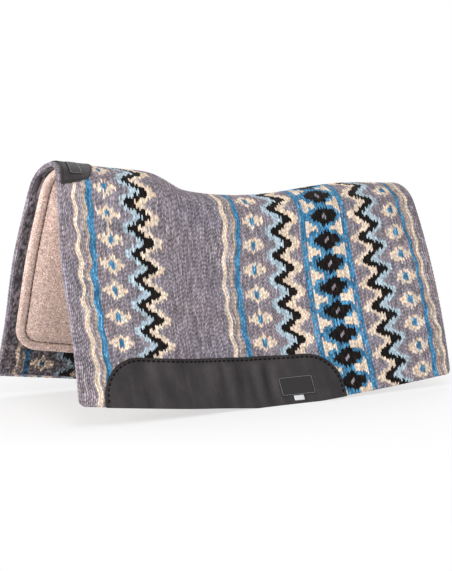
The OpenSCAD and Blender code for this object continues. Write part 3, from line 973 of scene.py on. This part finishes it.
# %% Settled felt
FELT, LINER_DEPTH, LINER_INSET, LINER_HEM, LINER_CORNER = 8.0, 9.5, 21.0, 72.0, 50.0
GROOVE, POCKET, POCKET_TOP, SWELL = 20.0, 6.5, 74.0, 2.6
PANEL_ROWS, PANEL_COLUMNS, PANEL_HEIGHT, PRESSURE, SETTLE_FRAMES = 33, 65, 290.0, 1.2, 20
LINER_LENGTH = PAD_LENGTH - 2 * LINER_INSET
POCKET_LENGTH = LINER_LENGTH - 2 * GROOVE


def settled_panel(length, height, corner):
    """Heights, in mm, of a sheet that is sewn down along its edge and settles under pressure."""
    y, x = grid(np.linspace(0, height, PANEL_ROWS), np.linspace(0, length, PANEL_COLUMNS))
    points = np.stack([x, y, 0 * x], -1)
    faces = grid_faces(grid_numbers(points)).tolist()
    mesh = bpy.data.meshes.new("felt_panel")
    mesh.from_pydata((points / MM_IN_M).reshape(-1, 3).tolist(), [], faces)
    panel = bpy.data.objects.new("felt_panel", mesh)
    scene.collection.objects.link(panel)
    in_x, in_y = np.minimum(x, length - x), height - y
    past = np.hypot(np.maximum(corner - in_x, 0), np.maximum(corner - in_y, 0))
    sewn = (np.minimum(np.minimum(in_x, in_y), y) < 1) | (past > corner)
    group = panel.vertex_groups.new(name="sewn")
    group.add(np.flatnonzero(sewn.ravel()).tolist(), 1.0, "REPLACE")
    cloth = panel.modifiers.new("settle", "CLOTH").settings
    cloth.vertex_group_mass = "sewn"
    cloth.use_pressure, cloth.uniform_pressure_force = True, PRESSURE
    cloth.effector_weights.gravity = 0
    cloth.quality, cloth.mass = 5, 0.6
    cloth.tension_stiffness, cloth.bending_stiffness = 25, 4
    for moment in range(1, SETTLE_FRAMES + 1):
        scene.frame_set(moment)
    shape = panel.evaluated_get(bpy.context.evaluated_depsgraph_get()).to_mesh()
    place = np.zeros(3 * len(shape.vertices))
    shape.vertices.foreach_get("co", place)
    scene.frame_set(1)
    bpy.data.objects.remove(panel)
    return np.abs(place[2::3]).reshape(x.shape) * MM_IN_M


settled = settled_panel(POCKET_LENGTH, PANEL_HEIGHT, LINER_CORNER - GROOVE)
print("felt panel settled, mm:", round(float(settled.max()), 2))
settled = np.minimum(settled * SWELL / settled.max(), SWELL)

# %% Felt profile
RIM_CROWN, RIM_LEAN, RIM_ROUND = 2.6, 0.7, 0.8
GROOVE_DEEP, GROOVE_WIDE, PAINTED_EDGE_LIGHT, HEM_SHADE = 3.4, 1.6, 0.4, 0.25
PAINTED_EDGE_REACH, HEM_SHADE_FROM_TO = (3, 11), (0.2, 0.8)
FACE_SLOPE, BACK_SLOPE, SWELL_SLOPE = (0, 20), (4, 26), (2, 30)
FACE_TOP, BACK_TOP = (72, 100), (74, 98)


def swell(x, s):
    """The settled height at a place on the felt, read off between the panel's points."""
    deep = drop(x) - LINER_HEM - GROOVE - POCKET_TOP
    u = np.clip((x - LINER_INSET - GROOVE) / POCKET_LENGTH, 0, 1) * (PANEL_COLUMNS - 1)
    v = np.clip((np.abs(s) - POCKET_TOP) / deep, 0, 1) * (PANEL_ROWS - 1)
    i, j = np.minimum(v.astype(int), PANEL_ROWS - 2), np.minimum(u.astype(int), PANEL_COLUMNS - 2)
    v, u = v - i, u - j
    low = settled[i, j] * (1 - u) + settled[i, j + 1] * u
    return low * (1 - v) + (settled[i + 1, j] * (1 - u) + settled[i + 1, j + 1] * u) * v


def painted_groove_shade_and_edge_light(m):
    """1 in the sewn groove, for painted shade there, and below nought towards the cut edge, for a
    painted highlight along the edge.
    """
    return bell(m, GROOVE, GROOVE_WIDE) - PAINTED_EDGE_LIGHT * (1 - smooth_step(m, *PAINTED_EDGE_REACH))


def painted_shade_towards_hem(x, s):
    """Painted shade darkens the felt towards its hem, and painted light keeps it paler higher up.
    """
    return 2 * HEM_SHADE * smooth_step(s / drop(x), *HEM_SHADE_FROM_TO) - HEM_SHADE


def felt_face(m, x, s):
    """How far the felt's face stands proud: crowned rim, sewn groove, swell over the core."""
    rim = RIM_CROWN * np.sin(np.pi * np.clip(m / GROOVE, 0, 1) ** RIM_LEAN) ** RIM_ROUND
    slope = smooth_step(m - GROOVE, *FACE_SLOPE) * smooth_step(np.abs(s), *FACE_TOP)
    swollen = swell(x, s) * smooth_step(m - GROOVE, *SWELL_SLOPE)
    return rim - GROOVE_DEEP * bell(m, GROOVE, GROOVE_WIDE) + slope * POCKET + swollen


across_rim = np.array([5.0, 10, 15])
print("rim stands proud, mm:", felt_face(across_rim, 100.0, 60 + 0 * across_rim).round(1).tolist())

# %% Felt liner
FELT_EDGE, BACK_IN, UP_ROWS = 3.9, 2, 62
edge_arcs = np.r_[edge_rows(FELT_EDGE, 7), 6, 8, 11, 14, 16.5, 18.2, 19.2, 20,
                  20.8, 21.8, 23.5, 26, 30, 35, 41, 48]
liner_columns = from_both_ends(edge_arcs, np.linspace(56, LINER_LENGTH - 56, 104), LINER_LENGTH)


def liner_half(side):
    """Places of half the liner's face, from its hem up to the ridge, their depth and shade."""
    b, c = grid(np.r_[edge_arcs, np.zeros(UP_ROWS)], liner_columns)
    a, rear = nearer_end(c, LINER_LENGTH)
    top = drop(np.clip(c, 0, LINER_LENGTH) + LINER_INSET) - LINER_HEM
    rise = (np.arange(len(b)) - len(edge_arcs) + 1)[:, None] / UP_ROWS
    b = np.where(rise > 0, edge_arcs[-1] + rise * (top - edge_arcs[-1]), b)
    ia, ib, sunk = rounded_corner(a, b, LINER_CORNER, FELT_EDGE)
    x = LINER_INSET + along(ia, rear, LINER_LENGTH)
    s = drop(x) - LINER_HEM - ib
    in_corner = (a < LINER_CORNER) & (b < LINER_CORNER)
    m = np.where(in_corner, np.minimum(a, b), np.minimum(ia, ib))
    proud = np.where(sunk > 0, 0, felt_face(np.maximum(m, 0), x, s))
    # the last value paints shade into the groove and towards the hem, and a highlight along the cut
    # edge
    return x, side * s, LINER_DEPTH + FELT - sunk + proud, painted_groove_shade_and_edge_light(m) + painted_shade_towards_hem(x, s)


def liner_back():
    """The felt's hidden face, a coarser grid that is lifted over the core."""
    edge = FELT_EDGE + BACK_IN
    share, c = grid(np.linspace(-1, 1, 61), np.linspace(edge, LINER_LENGTH - edge, 60))
    x, a = c + LINER_INSET, nearer_end(c, LINER_LENGTH)[0]
    reach = drop(x) - LINER_HEM - FELT_EDGE - BACK_IN
    room = LINER_CORNER - np.sqrt(LINER_CORNER**2 - np.maximum(LINER_CORNER - a, 0) ** 2)
    s = share * (reach - room)
    m = np.minimum(a, reach - np.abs(s))
    slope = smooth_step(m - GROOVE, *BACK_SLOPE) * smooth_step(np.abs(s), *BACK_TOP)
    return lay(x, s, LINER_DEPTH + slope * POCKET)


halves = zip(liner_half(-1), liner_half(1))
x, s, depth, seam_press_and_painted_felt_light = [np.concatenate([near, far[::-1][1:]]) for near, far in halves]
back = liner_back()
liner = make_piece("felt_liner", *closed_cloth(lay(x, s, depth), back), felt)
give_numbers(liner, "seam_press_and_painted_felt_light", "POINT", [seam_press_and_painted_felt_light, np.zeros(back.shape[:2])])
fasten(liner, "wool_felt", "liner_near", "liner_ridge", "liner_far")

# %% [markdown]
# ## The foam cores
# A slab of dense foam fills the pocket between the blanket and the felt on each side. It never
# shows, but it is what gives the felt its swell, so it is there as a soft-edged slab with its own
# material, in case the part is ever cut open.

# %% Foam cores
CORE_INSET, CORE_TOP, CORE_HEM, CORE_THICK, CORE_BEVEL, CORE_GAP = 61.0, 95.4, 119.0, 5.8, 1.5, 0.15
SIDES = (("near", -1), ("far", 1))
foam, tree, shader = start_material("grey_foam", 0.9, specular=0.15)
bubbles = [("Vector", own_space(tree)), ("Scale", 420.0)]
cells = add(tree, "TexVoronoi", bubbles).outputs["Distance"]
colour = ramp(tree, cells, [(0.0, (52, 52, 58)), (0.6, (84, 84, 92))])
finish_surface(tree, shader, colour, cells, 0.5, 0.0008)


def core_points(side, depth, inset):
    """A face of the foam at a depth, drawn in all round by an inset."""
    x = np.linspace(CORE_INSET + inset, PAD_LENGTH - CORE_INSET - inset, 70)
    share, c = grid(np.linspace(0, 1, 24), x)
    low, high = drop(c) - CORE_HEM - inset, CORE_TOP + inset
    return lay(c, side * (low + share * (high - low)), depth)


for which, side in SIDES:
    inner_face = core_points(side, LINER_DEPTH + CORE_THICK, CORE_BEVEL)
    outer_face = core_points(side, LINER_DEPTH + CORE_GAP, 0.0)
    core = make_piece("foam_core_" + which, *closed_cloth(inner_face, outer_face), foam)
    fasten(core, "foam", "core_" + which, body=which + "_side")

# %% [markdown]
# ## Leather
# The wear leathers guard the hem where the saddle's straps rub, and the patch guards the withers.
# The hide is dyed nearly black and finished matt: a pebbled grain a millimetre or so across, broad
# clouds of slightly different black, and a soft shine. A sum of noises could give the grain, but
# hide creases into small cells, and a Voronoi texture draws those directly.

# %% Leather material
BEND = (0.004, 0.004, 0.004)
leather, tree, shader = start_material("black_leather", 0.6, specular=0.14)
hide = own_space(tree)
waves = [("Vector", hide), ("Scale", 160.0), ("Detail", 2.0)]
bent = add(tree, "TexNoise", waves).outputs["Color"]
moved = [(0, bent), (1, BEND), (2, hide)]
where = add(tree, "VectorMath", moved, operation="MULTIPLY_ADD").outputs[0]
creases = [("Vector", where), ("Scale", 520.0)]
pebbles = add(tree, "TexVoronoi", creases, feature="F1").outputs["Distance"]
clouds = noise(tree, 22, 4.0)
colour = ramp(tree, clouds, [(0.3, (52, 49, 50)), (0.7, (65, 61, 62))])
colour = shade(tree, colour, noise(tree, 34, 2.0, (1.0, 0.3, 0.2)), 0.3, 1.7)
# painted highlight on the fold crests and painted shade in the creases, and a darker rim
colour = shade(tree, colour, number_on(tree, "folded"), 0.45, 1.55, start=-1.0)
colour = shade(tree, colour, pebbles, 1.12, 0.72)
gloss = add(tree, "MapRange", [("Value", clouds), ("To Min", 0.45), ("To Max", 0.62)])
tree.links.new(gloss.outputs["Result"], shader.inputs["Roughness"])
finish_surface(tree, shader, colour, pebbles, 0.35, -0.0006)
print("leather nodes:", len(tree.nodes))

# %% [markdown]
# ## Wear leathers
# Each is one long strip with two large round upper corners, sewn along its ends and top. Its lower
# edge ends flush with the hem, where the front end flares a little. Leather that is sewn to a
# curved pad ripples, and the real one has soft upright folds between the middle and the label, so
# low waves are added there. The crests of the folds get a painted highlight, the creases painted
# shade, and the rim is darker: one number on each point tells the leather's colour how far to go
# either way.

# %% Wear leather shape
LEATHER, LEATHER_FACE = 2.5, -3.0
HIDE_EDGE, HIDE_BACK_IN = LEATHER / 2, 2.5
WEAR_FROM, WEAR_LENGTH, WEAR_HEIGHT, WEAR_CORNER, HEM_CORNER = 54.0, 537.0, 105.0, 80.0, 3.0
LIFT_AT = np.array([54.0, 117, 255, 390, 486, 591])
LIFT = np.array([-3.0, -5.5, -2.5, 4.0, 0, 0])
SEAM_IN, SEAM_DEEP, SEAM_WIDE, FLARE, FOLD_LEAN = 6.8, 0.45, 1.6, 6.0, 0.06
FOLDS = [(150, 24, 1.8), (281, 18, 3.2), (318, 7, -1.8), (341, 11, 3.2),
         (370, 9, 1.6), (399, 11, 3.0), (420, 6, -2.0), (437, 9, 2.6)]


def wear_folds(x, e):
    """How far the leather ripples out, at distances from the front and from its own top edge."""
    wave = sum(high * bell(x + FOLD_LEAN * e, at, wide) for at, wide, high in FOLDS)
    return wave * smooth_step(e, 6, 26) * (1 - 0.75 * smooth_step(e, 40, WEAR_HEIGHT))


def wear_rise(x):
    """How much higher or lower than even the leather reaches at x, as a factor."""
    return 1 + curve_through(x, LIFT_AT, LIFT) / WEAR_HEIGHT


def wear_x(inset, e):
    """Distance from the pad's front at an inset from the leather's front end, which flares."""
    flared = FLARE * smooth_step(e, 20, WEAR_HEIGHT) * (1 - smooth_step(inset, 10, 110))
    return WEAR_FROM + inset - flared


def wear_points(c, e, side, front=True):
    """Points of the leather's face or back, at distances along it and down from its top."""
    (a, rear), b = nearer_end(c, WEAR_LENGTH), WEAR_HEIGHT - e
    ia, ie, sunk = rounded_corner(a, e, WEAR_CORNER, HIDE_EDGE)
    low_ia, low_ib, low_sunk = rounded_corner(a, b, HEM_CORNER, HIDE_EDGE)
    low = e > WEAR_CORNER
    ia, sunk = np.where(low, low_ia, ia), np.where(low, low_sunk, sunk)
    x = wear_x(along(ia, rear, WEAR_LENGTH), e)
    up_from_hem = np.where(low, low_ib, WEAR_HEIGHT - ie) * wear_rise(x)
    seam_press_and_painted_felt_light = SEAM_DEEP * bell(np.minimum(a, e), SEAM_IN, SEAM_WIDE)
    depth = LEATHER_FACE + sunk + np.where(sunk > 0, 0, seam_press_and_painted_felt_light - wear_folds(x, e))
    if not front:
        depth = np.full(x.shape, LEATHER_FACE + LEATHER)
    points = lay(x, side * (drop(x) - up_from_hem - hem_cut(x, depth, b)), depth)
    points[..., 2] = np.maximum(points[..., 2], 0)
    return points


print("lift along the top edge, mm:", ((wear_rise(LIFT_AT) - 1) * WEAR_HEIGHT).round(1).tolist())

# %% Wear leathers
HIGHEST_FOLD, RIM_DARK, RIM_WIDE, HIDE_CELL = 3.2, 0.75, 6, 4.0
trim = np.r_[edge_rows(HIDE_EDGE, 5), 2.4, 3.8, 5.0, 5.9, 6.8, 7.7, 8.6, 10, 12.5, 16]
hem_rows = (WEAR_HEIGHT - trim[:6])[::-1]
wear_rows = np.r_[trim, np.arange(20, WEAR_HEIGHT - 4, HIDE_CELL), hem_rows]
wear_columns = from_both_ends(trim, np.arange(20, WEAR_LENGTH - 19, HIDE_CELL), WEAR_LENGTH)


def hide_back(rows, height, columns, length):
    """A coarse grid for the back of a leather piece, a little inside its edges."""
    return grid(np.linspace(HIDE_BACK_IN, height - HIDE_BACK_IN, rows),
                np.linspace(HIDE_BACK_IN, length - HIDE_BACK_IN, columns))


for which, side in SIDES:
    e, c = grid(wear_rows, wear_columns)
    be, bc = hide_back(14, WEAR_HEIGHT, 60, WEAR_LENGTH)
    faces = wear_points(c, e, side), wear_points(bc, be, side, front=False)
    strip = make_piece("wear_hide_" + which, *closed_cloth(*faces), leather)
    # painted light and shade: fold crests lighter, creases darker, and the rim darker
    rim = RIM_DARK * bell(np.minimum(nearer_end(c, WEAR_LENGTH)[0], e), 0, RIM_WIDE)
    painted_fold_light_and_dark_rim = wear_folds(WEAR_FROM + c, e) / HIGHEST_FOLD - rim
    give_numbers(strip, "folded", "POINT", [painted_fold_light_and_dark_rim, np.zeros(bc.size)])
    fasten(strip, "leather", "wear_leather_" + which, body=which + "_side")

# %% [markdown]
# ## Stitches
# A stitch is a short length of thread that dives at both ends. A tiny model could be scattered with
# instances, but here each stitch is a small capsule written into one mesh, so it sits on the curved
# leather and is fastened like the piece it is sewn through. The leathers are sewn with black
# thread, and the felt with brown.

# %% Thread
RING = np.arange(6) * np.pi / 3
STITCH_AT = np.array([0, 0.1, 0.32, 0.68, 0.9, 1])
STITCH_WIDE = np.array([0.3, 0.75, 1, 1, 0.75, 0.3])
STITCH_HALF, STITCH_FLAT = 0.31, 0.6


def thread_material(name, dark, light, sheen=0.2, specular=0.25):
    material, tree, shader = start_material(name, 0.7, sheen=sheen, specular=specular)
    colour = ramp(tree, noise(tree, 800, 3.0), [(0.35, dark), (0.65, light)])
    finish_surface(tree, shader, colour, noise(tree, 1500, 2.0), 0.4, 0.0004)
    return material


def read_along(line, far, at):
    """Values at distances along a line, read off between its points."""
    return np.stack([np.interp(at, far, column) for column in line.T], -1)


def even_spots(line, pitch):
    """Both ends of stitches that stand at even distances along a line of x, s and depth."""
    far = distance_along(line[:, :2])
    count = int(far[-1] // pitch)
    at = (np.arange(count) + 0.5) * far[-1] / count
    return [read_along(line, far, at + move * pitch) for move in (-STITCH_HALF, STITCH_HALF)]


def seam_corner(corner, inset, count):
    """Insets from two edges along a seam that follows their round corner."""
    arc, r = np.linspace(0, np.pi / 2, count), corner - inset
    return corner - r * np.cos(arc), corner - r * np.sin(arc)


def seam_line(x, s, depth):
    return np.stack([x, s, np.full(len(x), depth)], -1)


def stitches(name, first, second, thick, material, arch):
    """One mesh of stitches, each of which arches out from between its two ends."""
    a, b = lay(*first.T), lay(*second.T)
    out = unit(lay(*(first - [0, 0, 1]).T) - a)
    across = unit(np.cross(out, b - a))
    lift = arch * 4 * STITCH_AT * (1 - STITCH_AT)
    centre = a[:, None] + STITCH_AT[:, None] * (b - a)[:, None] + lift[:, None] * out[:, None]
    radius = (thick / 2 * STITCH_WIDE)[:, None]
    wide, high = radius * np.cos(RING), STITCH_FLAT * radius * np.sin(RING)
    ring = (centre[:, :, None] + wide[..., None] * across[:, None, None]
            + high[..., None] * out[:, None, None])
    count, rings, sides = ring.shape[:3]
    k = np.arange(count * rings * sides).reshape(count, rings, sides)
    turned = np.roll(k, -1, axis=2)
    walls = np.stack([k[:, :-1], turned[:, :-1], turned[:, 1:], k[:, 1:]], -1).reshape(-1, 4)
    caps = np.concatenate([k[:, 0, ::-1], k[:, -1]])
    return make_piece(name, ring.reshape(-1, 3), [walls, caps], material)


black_thread = thread_material("black_thread", (9, 8, 9), (21, 19, 20), 0.02, 0.08)
brown_thread = thread_material("brown_thread", (62, 42, 33), (104, 76, 60), 0.1, 0.15)
print("points to a stitch:", len(RING) * len(STITCH_AT))

# %% Wear stitches
WEAR_PITCH, WEAR_THREAD, SEAM_END, THREAD_OUT = 10.8, 3.9, 7, 0.05


def wear_seam(side):
    """The sewn line: up the front end, round the corner, along the top and down the rear end."""
    corner_a, corner_e = seam_corner(WEAR_CORNER, SEAM_IN, 24)
    ie = np.r_[WEAR_HEIGHT - SEAM_END, corner_e]
    top = np.linspace(WEAR_CORNER, WEAR_LENGTH - WEAR_CORNER, 30)[1:-1]
    down = np.r_[ie, np.full(len(top), SEAM_IN), ie[::-1]]
    x = wear_x(from_both_ends(np.r_[SEAM_IN, corner_a], top, WEAR_LENGTH), down)
    s = side * (drop(x) - (WEAR_HEIGHT - down) * wear_rise(x))
    return seam_line(x, s, LEATHER_FACE - THREAD_OUT)


for which, side in SIDES:
    ends = even_spots(wear_seam(side), WEAR_PITCH)
    sewn = stitches("wear_stitches_" + which, *ends, WEAR_THREAD, black_thread, arch=0.3)
    fasten(sewn, "leather", body=which + "_side")

# %% [markdown]
# The felt's seam runs round the whole liner, over the ridge at both ends, in the bottom of its
# groove.

# %% Liner stitches
LINER_PITCH, LINER_THREAD, THREAD_SUNK, RIDGE_GAP = 12.5, 2.5, 2.5, 0.5


def liner_seam(side):
    """From the ridge at the front, down the front edge, along the hem and back up at the rear."""
    corner_a, corner_b = seam_corner(LINER_CORNER, GROOVE, 16)
    down = np.linspace(1, 0, 60)[:-1]
    x_front = LINER_INSET + np.r_[np.full(len(down), GROOVE), corner_a]
    rounded = LINER_INSET + LINER_CORNER
    x_low = np.linspace(rounded, PAD_LENGTH - LINER_INSET - LINER_CORNER, 90)[1:-1]
    x = from_both_ends(x_front, x_low, PAD_LENGTH)
    reach = drop(x) - LINER_HEM
    straight = reach[:len(down)] - LINER_CORNER
    climb = reach[-len(down):] - LINER_CORNER
    hem = np.r_[corner_b, np.full(len(x_low), GROOVE), corner_b[::-1]]
    s = np.r_[straight * (1 - down), reach[len(down):-len(down)] - hem, climb * (1 - down[::-1])]
    return seam_line(x, side * np.maximum(s, RIDGE_GAP), LINER_DEPTH + FELT - THREAD_SUNK)


halves = [even_spots(liner_seam(side), LINER_PITCH) for which, side in SIDES]
ends = [np.concatenate(pair) for pair in zip(*halves)]
sewn = stitches("liner_stitches", *ends, LINER_THREAD, brown_thread, arch=0.2)
fasten(sewn, "wool_felt")

# %% [markdown]
# ## The withers patch
# A leather patch is folded over the ridge at the front edge, where the pad is pulled up into the
# saddle's gullet. It is longer on each side at the front than at the rear, and its rear edge bows
# back over the ridge.

# %% Withers patch
PATCH_FROM, PATCH_LENGTH, PATCH_DROP, PATCH_CORNER = 10.0, 80.0, 86.0, 4.0
PATCH_TAPER, PATCH_BOW, PATCH_FRONT_BOW = 20.0, 22.0, 6
PATCH_ACROSS, PATCH_CELL = 2 * PATCH_DROP, 3.5
PATCH_SEAM, PATCH_SEAM_DEEP, PATCH_SEAM_WIDE = 4.5, 0.35, 1.3
PATCH_PITCH, PATCH_THREAD = 5.6, 1.1


def patch_place(c, across):
    """x and s for distances along the patch and across it, from its near lower edge."""
    share = c / PATCH_LENGTH
    half = PATCH_DROP - PATCH_TAPER * c / PATCH_LENGTH
    s = (across / PATCH_DROP - 1) * half
    swept = PATCH_BOW * share**2 + PATCH_FRONT_BOW * (1 - share) ** 2
    return PATCH_FROM + c - swept * (s / half) ** 2, s


def patch_points(c, r, front=True):
    """Points of the patch's face or back."""
    (a, rear), (e, far) = nearer_end(c, PATCH_LENGTH), nearer_end(r, PATCH_ACROSS)
    ia, ie, sunk = rounded_corner(a, e, PATCH_CORNER, HIDE_EDGE)
    x, s = patch_place(along(ia, rear, PATCH_LENGTH), along(ie, far, PATCH_ACROSS))
    seam_press_and_painted_felt_light = PATCH_SEAM_DEEP * bell(np.minimum(a, e), PATCH_SEAM, PATCH_SEAM_WIDE)
    depth = LEATHER_FACE + sunk + np.where(sunk > 0, 0, seam_press_and_painted_felt_light)
    return lay(x, s, depth if front else np.full(x.shape, LEATHER_FACE + LEATHER))


patch_trim = np.r_[edge_rows(HIDE_EDGE, 5), 2.4, 3.3, 4.0, 4.5, 5.0, 5.7, 7, 9.5]
rows, columns = [from_both_ends(patch_trim, np.arange(13, length - 12, PATCH_CELL), length)
                 for length in (PATCH_ACROSS, PATCH_LENGTH)]
r, c = grid(rows, columns)
br, bc = hide_back(30, PATCH_ACROSS, 16, PATCH_LENGTH)
faces = patch_points(c, r), patch_points(bc, br, front=False)
patch = make_piece("withers_hide", *closed_cloth(*faces), leather)
fasten(patch, "leather", "withers_patch")
low, rear, far = PATCH_SEAM, PATCH_LENGTH - PATCH_SEAM, PATCH_ACROSS - PATCH_SEAM
turns = [(low, far), (low, low), (rear, low), (rear, far), (low, far)]
loop = [np.linspace(*pair, count) for *pair, count in zip(turns, turns[1:], (40, 24, 40, 24))]
x, s = patch_place(*np.concatenate(loop).T)
ends = even_spots(seam_line(x, s, LEATHER_FACE - THREAD_OUT), PATCH_PITCH)
sewn = stitches("patch_stitches", *ends, PATCH_THREAD, black_thread, arch=0.2)
fasten(sewn, "leather")

# %% [markdown]
# ## Labels and tag
# Two plain black labels and a small white tag are sewn on the leather, and a fine grey line frames
# each label. A colour on the leather could stand for them, but a plate and a line that are real
# geometry catch the light as sewn ones do. So they are thin plates with round corners that follow
# the leather, and the line is a fine thread round each label.

# %% Label material
def label_material(name, dark, light, roughness):
    """A close weave of warp and weft."""
    material, tree, shader = start_material(name, roughness, specular=0.3)
    threads = [("Vector", own_space(tree)), ("Scale", 420.0), ("Distortion", 0.6)]
    warp, weft = [add(tree, "TexWave", threads, bands_direction=way).outputs["Fac"]
                  for way in "XZ"]
    crossed = add(tree, "Math", [(0, warp), (1, weft)], operation="MULTIPLY").outputs[0]
    colour = ramp(tree, crossed, [(0.0, dark), (0.8, light)])
    finish_surface(tree, shader, colour, crossed, 0.3, 0.0003)
    return material


black_label = label_material("black_label", (32, 30, 31), (48, 45, 45), 0.55)
white_tag = label_material("white_tag", (205, 206, 210), (240, 240, 241), 0.8)
frame_line = thread_material("grey_line", (112, 110, 110), (158, 156, 156))
print("materials:", len(bpy.data.materials))

# %% Label shapes
LABEL_BACK, LABEL_THICK, LABEL_IN, LABEL_POINTS = -3.5, 1.2, 0.9, 96
LABEL_FACE = LABEL_BACK - LABEL_THICK
LABEL_EDGE = ((0.95, 0), (0.25, 0.15), (0.0, 0.6), (0.25, 1.05), (LABEL_IN, LABEL_THICK))
LINE_IN, LINE_POINTS, LINE_HALF, LINE_HIGH, LEAST_CORNER = 1.8, 120, 0.36, 0.3, 0.4


def label_spots(box, inset, count):
    """A closed line of x and s round a label, at this inset from its edge."""
    from_x, length, top, height, corner = box
    r = max(corner - inset, LEAST_CORNER)
    turn = np.linspace(0, np.pi / 2, 7)
    right, low = length - corner, height - corner
    line = []
    for k, (cx, ct) in enumerate(((corner, corner), (right, corner), (right, low), (corner, low))):
        angle = np.pi + k * np.pi / 2 + turn
        line.append(np.stack([from_x + cx + r * np.cos(angle), top + ct + r * np.sin(angle)], -1))
    line = np.concatenate(line + [line[0][:1]])
    far = distance_along(line)
    return read_along(line, far, np.linspace(0, far[-1], count + 1)[:-1])


def label(name, box, place, material):
    """A thin plate with round corners: rings over its edge, and on to the middle of its face."""
    from_x, length, top, height, corner = box
    rings = [place(*label_spots(box, inset, LABEL_POINTS).T, LABEL_BACK - rise)
             for inset, rise in LABEL_EDGE]
    middle = np.array([from_x + length / 2, top + height / 2])
    edge = label_spots(box, LABEL_IN, LABEL_POINTS)
    for share in (0.8, 0.6, 0.4, 0.2):
        rings.append(place(*(middle + (edge - middle) * share).T, LABEL_FACE))
    points = np.stack(rings)
    k = grid_numbers(points)
    caps = np.stack([k[0, ::-1], k[-1]])
    k = np.concatenate([k, k[:, :1]], 1)
    return make_piece(name, points.reshape(-1, 3), [grid_faces(k), caps], material)


def frame_thread(name, box, place):
    """The fine line that frames a label, as a thin thread that lies on its face."""
    spots = label_spots(box, LINE_IN, LINE_POINTS).T
    centre = place(*spots, LABEL_FACE)
    out = place(*spots, LABEL_FACE - 1) - centre
    across = unit(np.cross(out, np.roll(centre, -1, 0) - np.roll(centre, 1, 0)))
    wide, high = LINE_HALF * np.cos(RING)[:, None], LINE_HIGH * np.sin(RING)[:, None]
    ring = centre[:, None] + wide * across[:, None] + high * out[:, None]
    k = np.pad(grid_numbers(ring), (0, 1), mode="wrap")
    return make_piece(name, ring.reshape(-1, 3), [grid_faces(k)], frame_line)


print("label edge, mm proud:", [rise for inset, rise in LABEL_EDGE])

# %% Labels in place
SIDE_BOX = 442.0, 79.0, WEAR_HEIGHT - 58, 41.0, 5.0
TAG_BOX = 468.0, 23.0, WEAR_HEIGHT - 16.5, 11.0, 0.8
PATCH_BOX = 27.0, 27.0, 15.0, 44.0, 2.0


def on_wear(x, down, depth):
    return lay(x, -(drop(x) - WEAR_HEIGHT + down), depth)


def on_patch(x, down, depth):
    return lay(x, -down, depth)


side_plate = label("side_plate", SIDE_BOX, on_wear, black_label)
side_line = frame_thread("side_plate_line", SIDE_BOX, on_wear)
side_flag = label("side_flag", TAG_BOX, on_wear, white_tag)
patch_plate = label("patch_plate", PATCH_BOX, on_patch, black_label)
patch_line = frame_thread("patch_plate_line", PATCH_BOX, on_patch)
fasten(side_plate, "label", "side_label", body="near_side")
fasten(side_line, "label", body="near_side")
fasten(side_flag, "tag", "side_tag", body="near_side")
fasten(patch_plate, "label", "withers_label")
fasten(patch_line, "label")
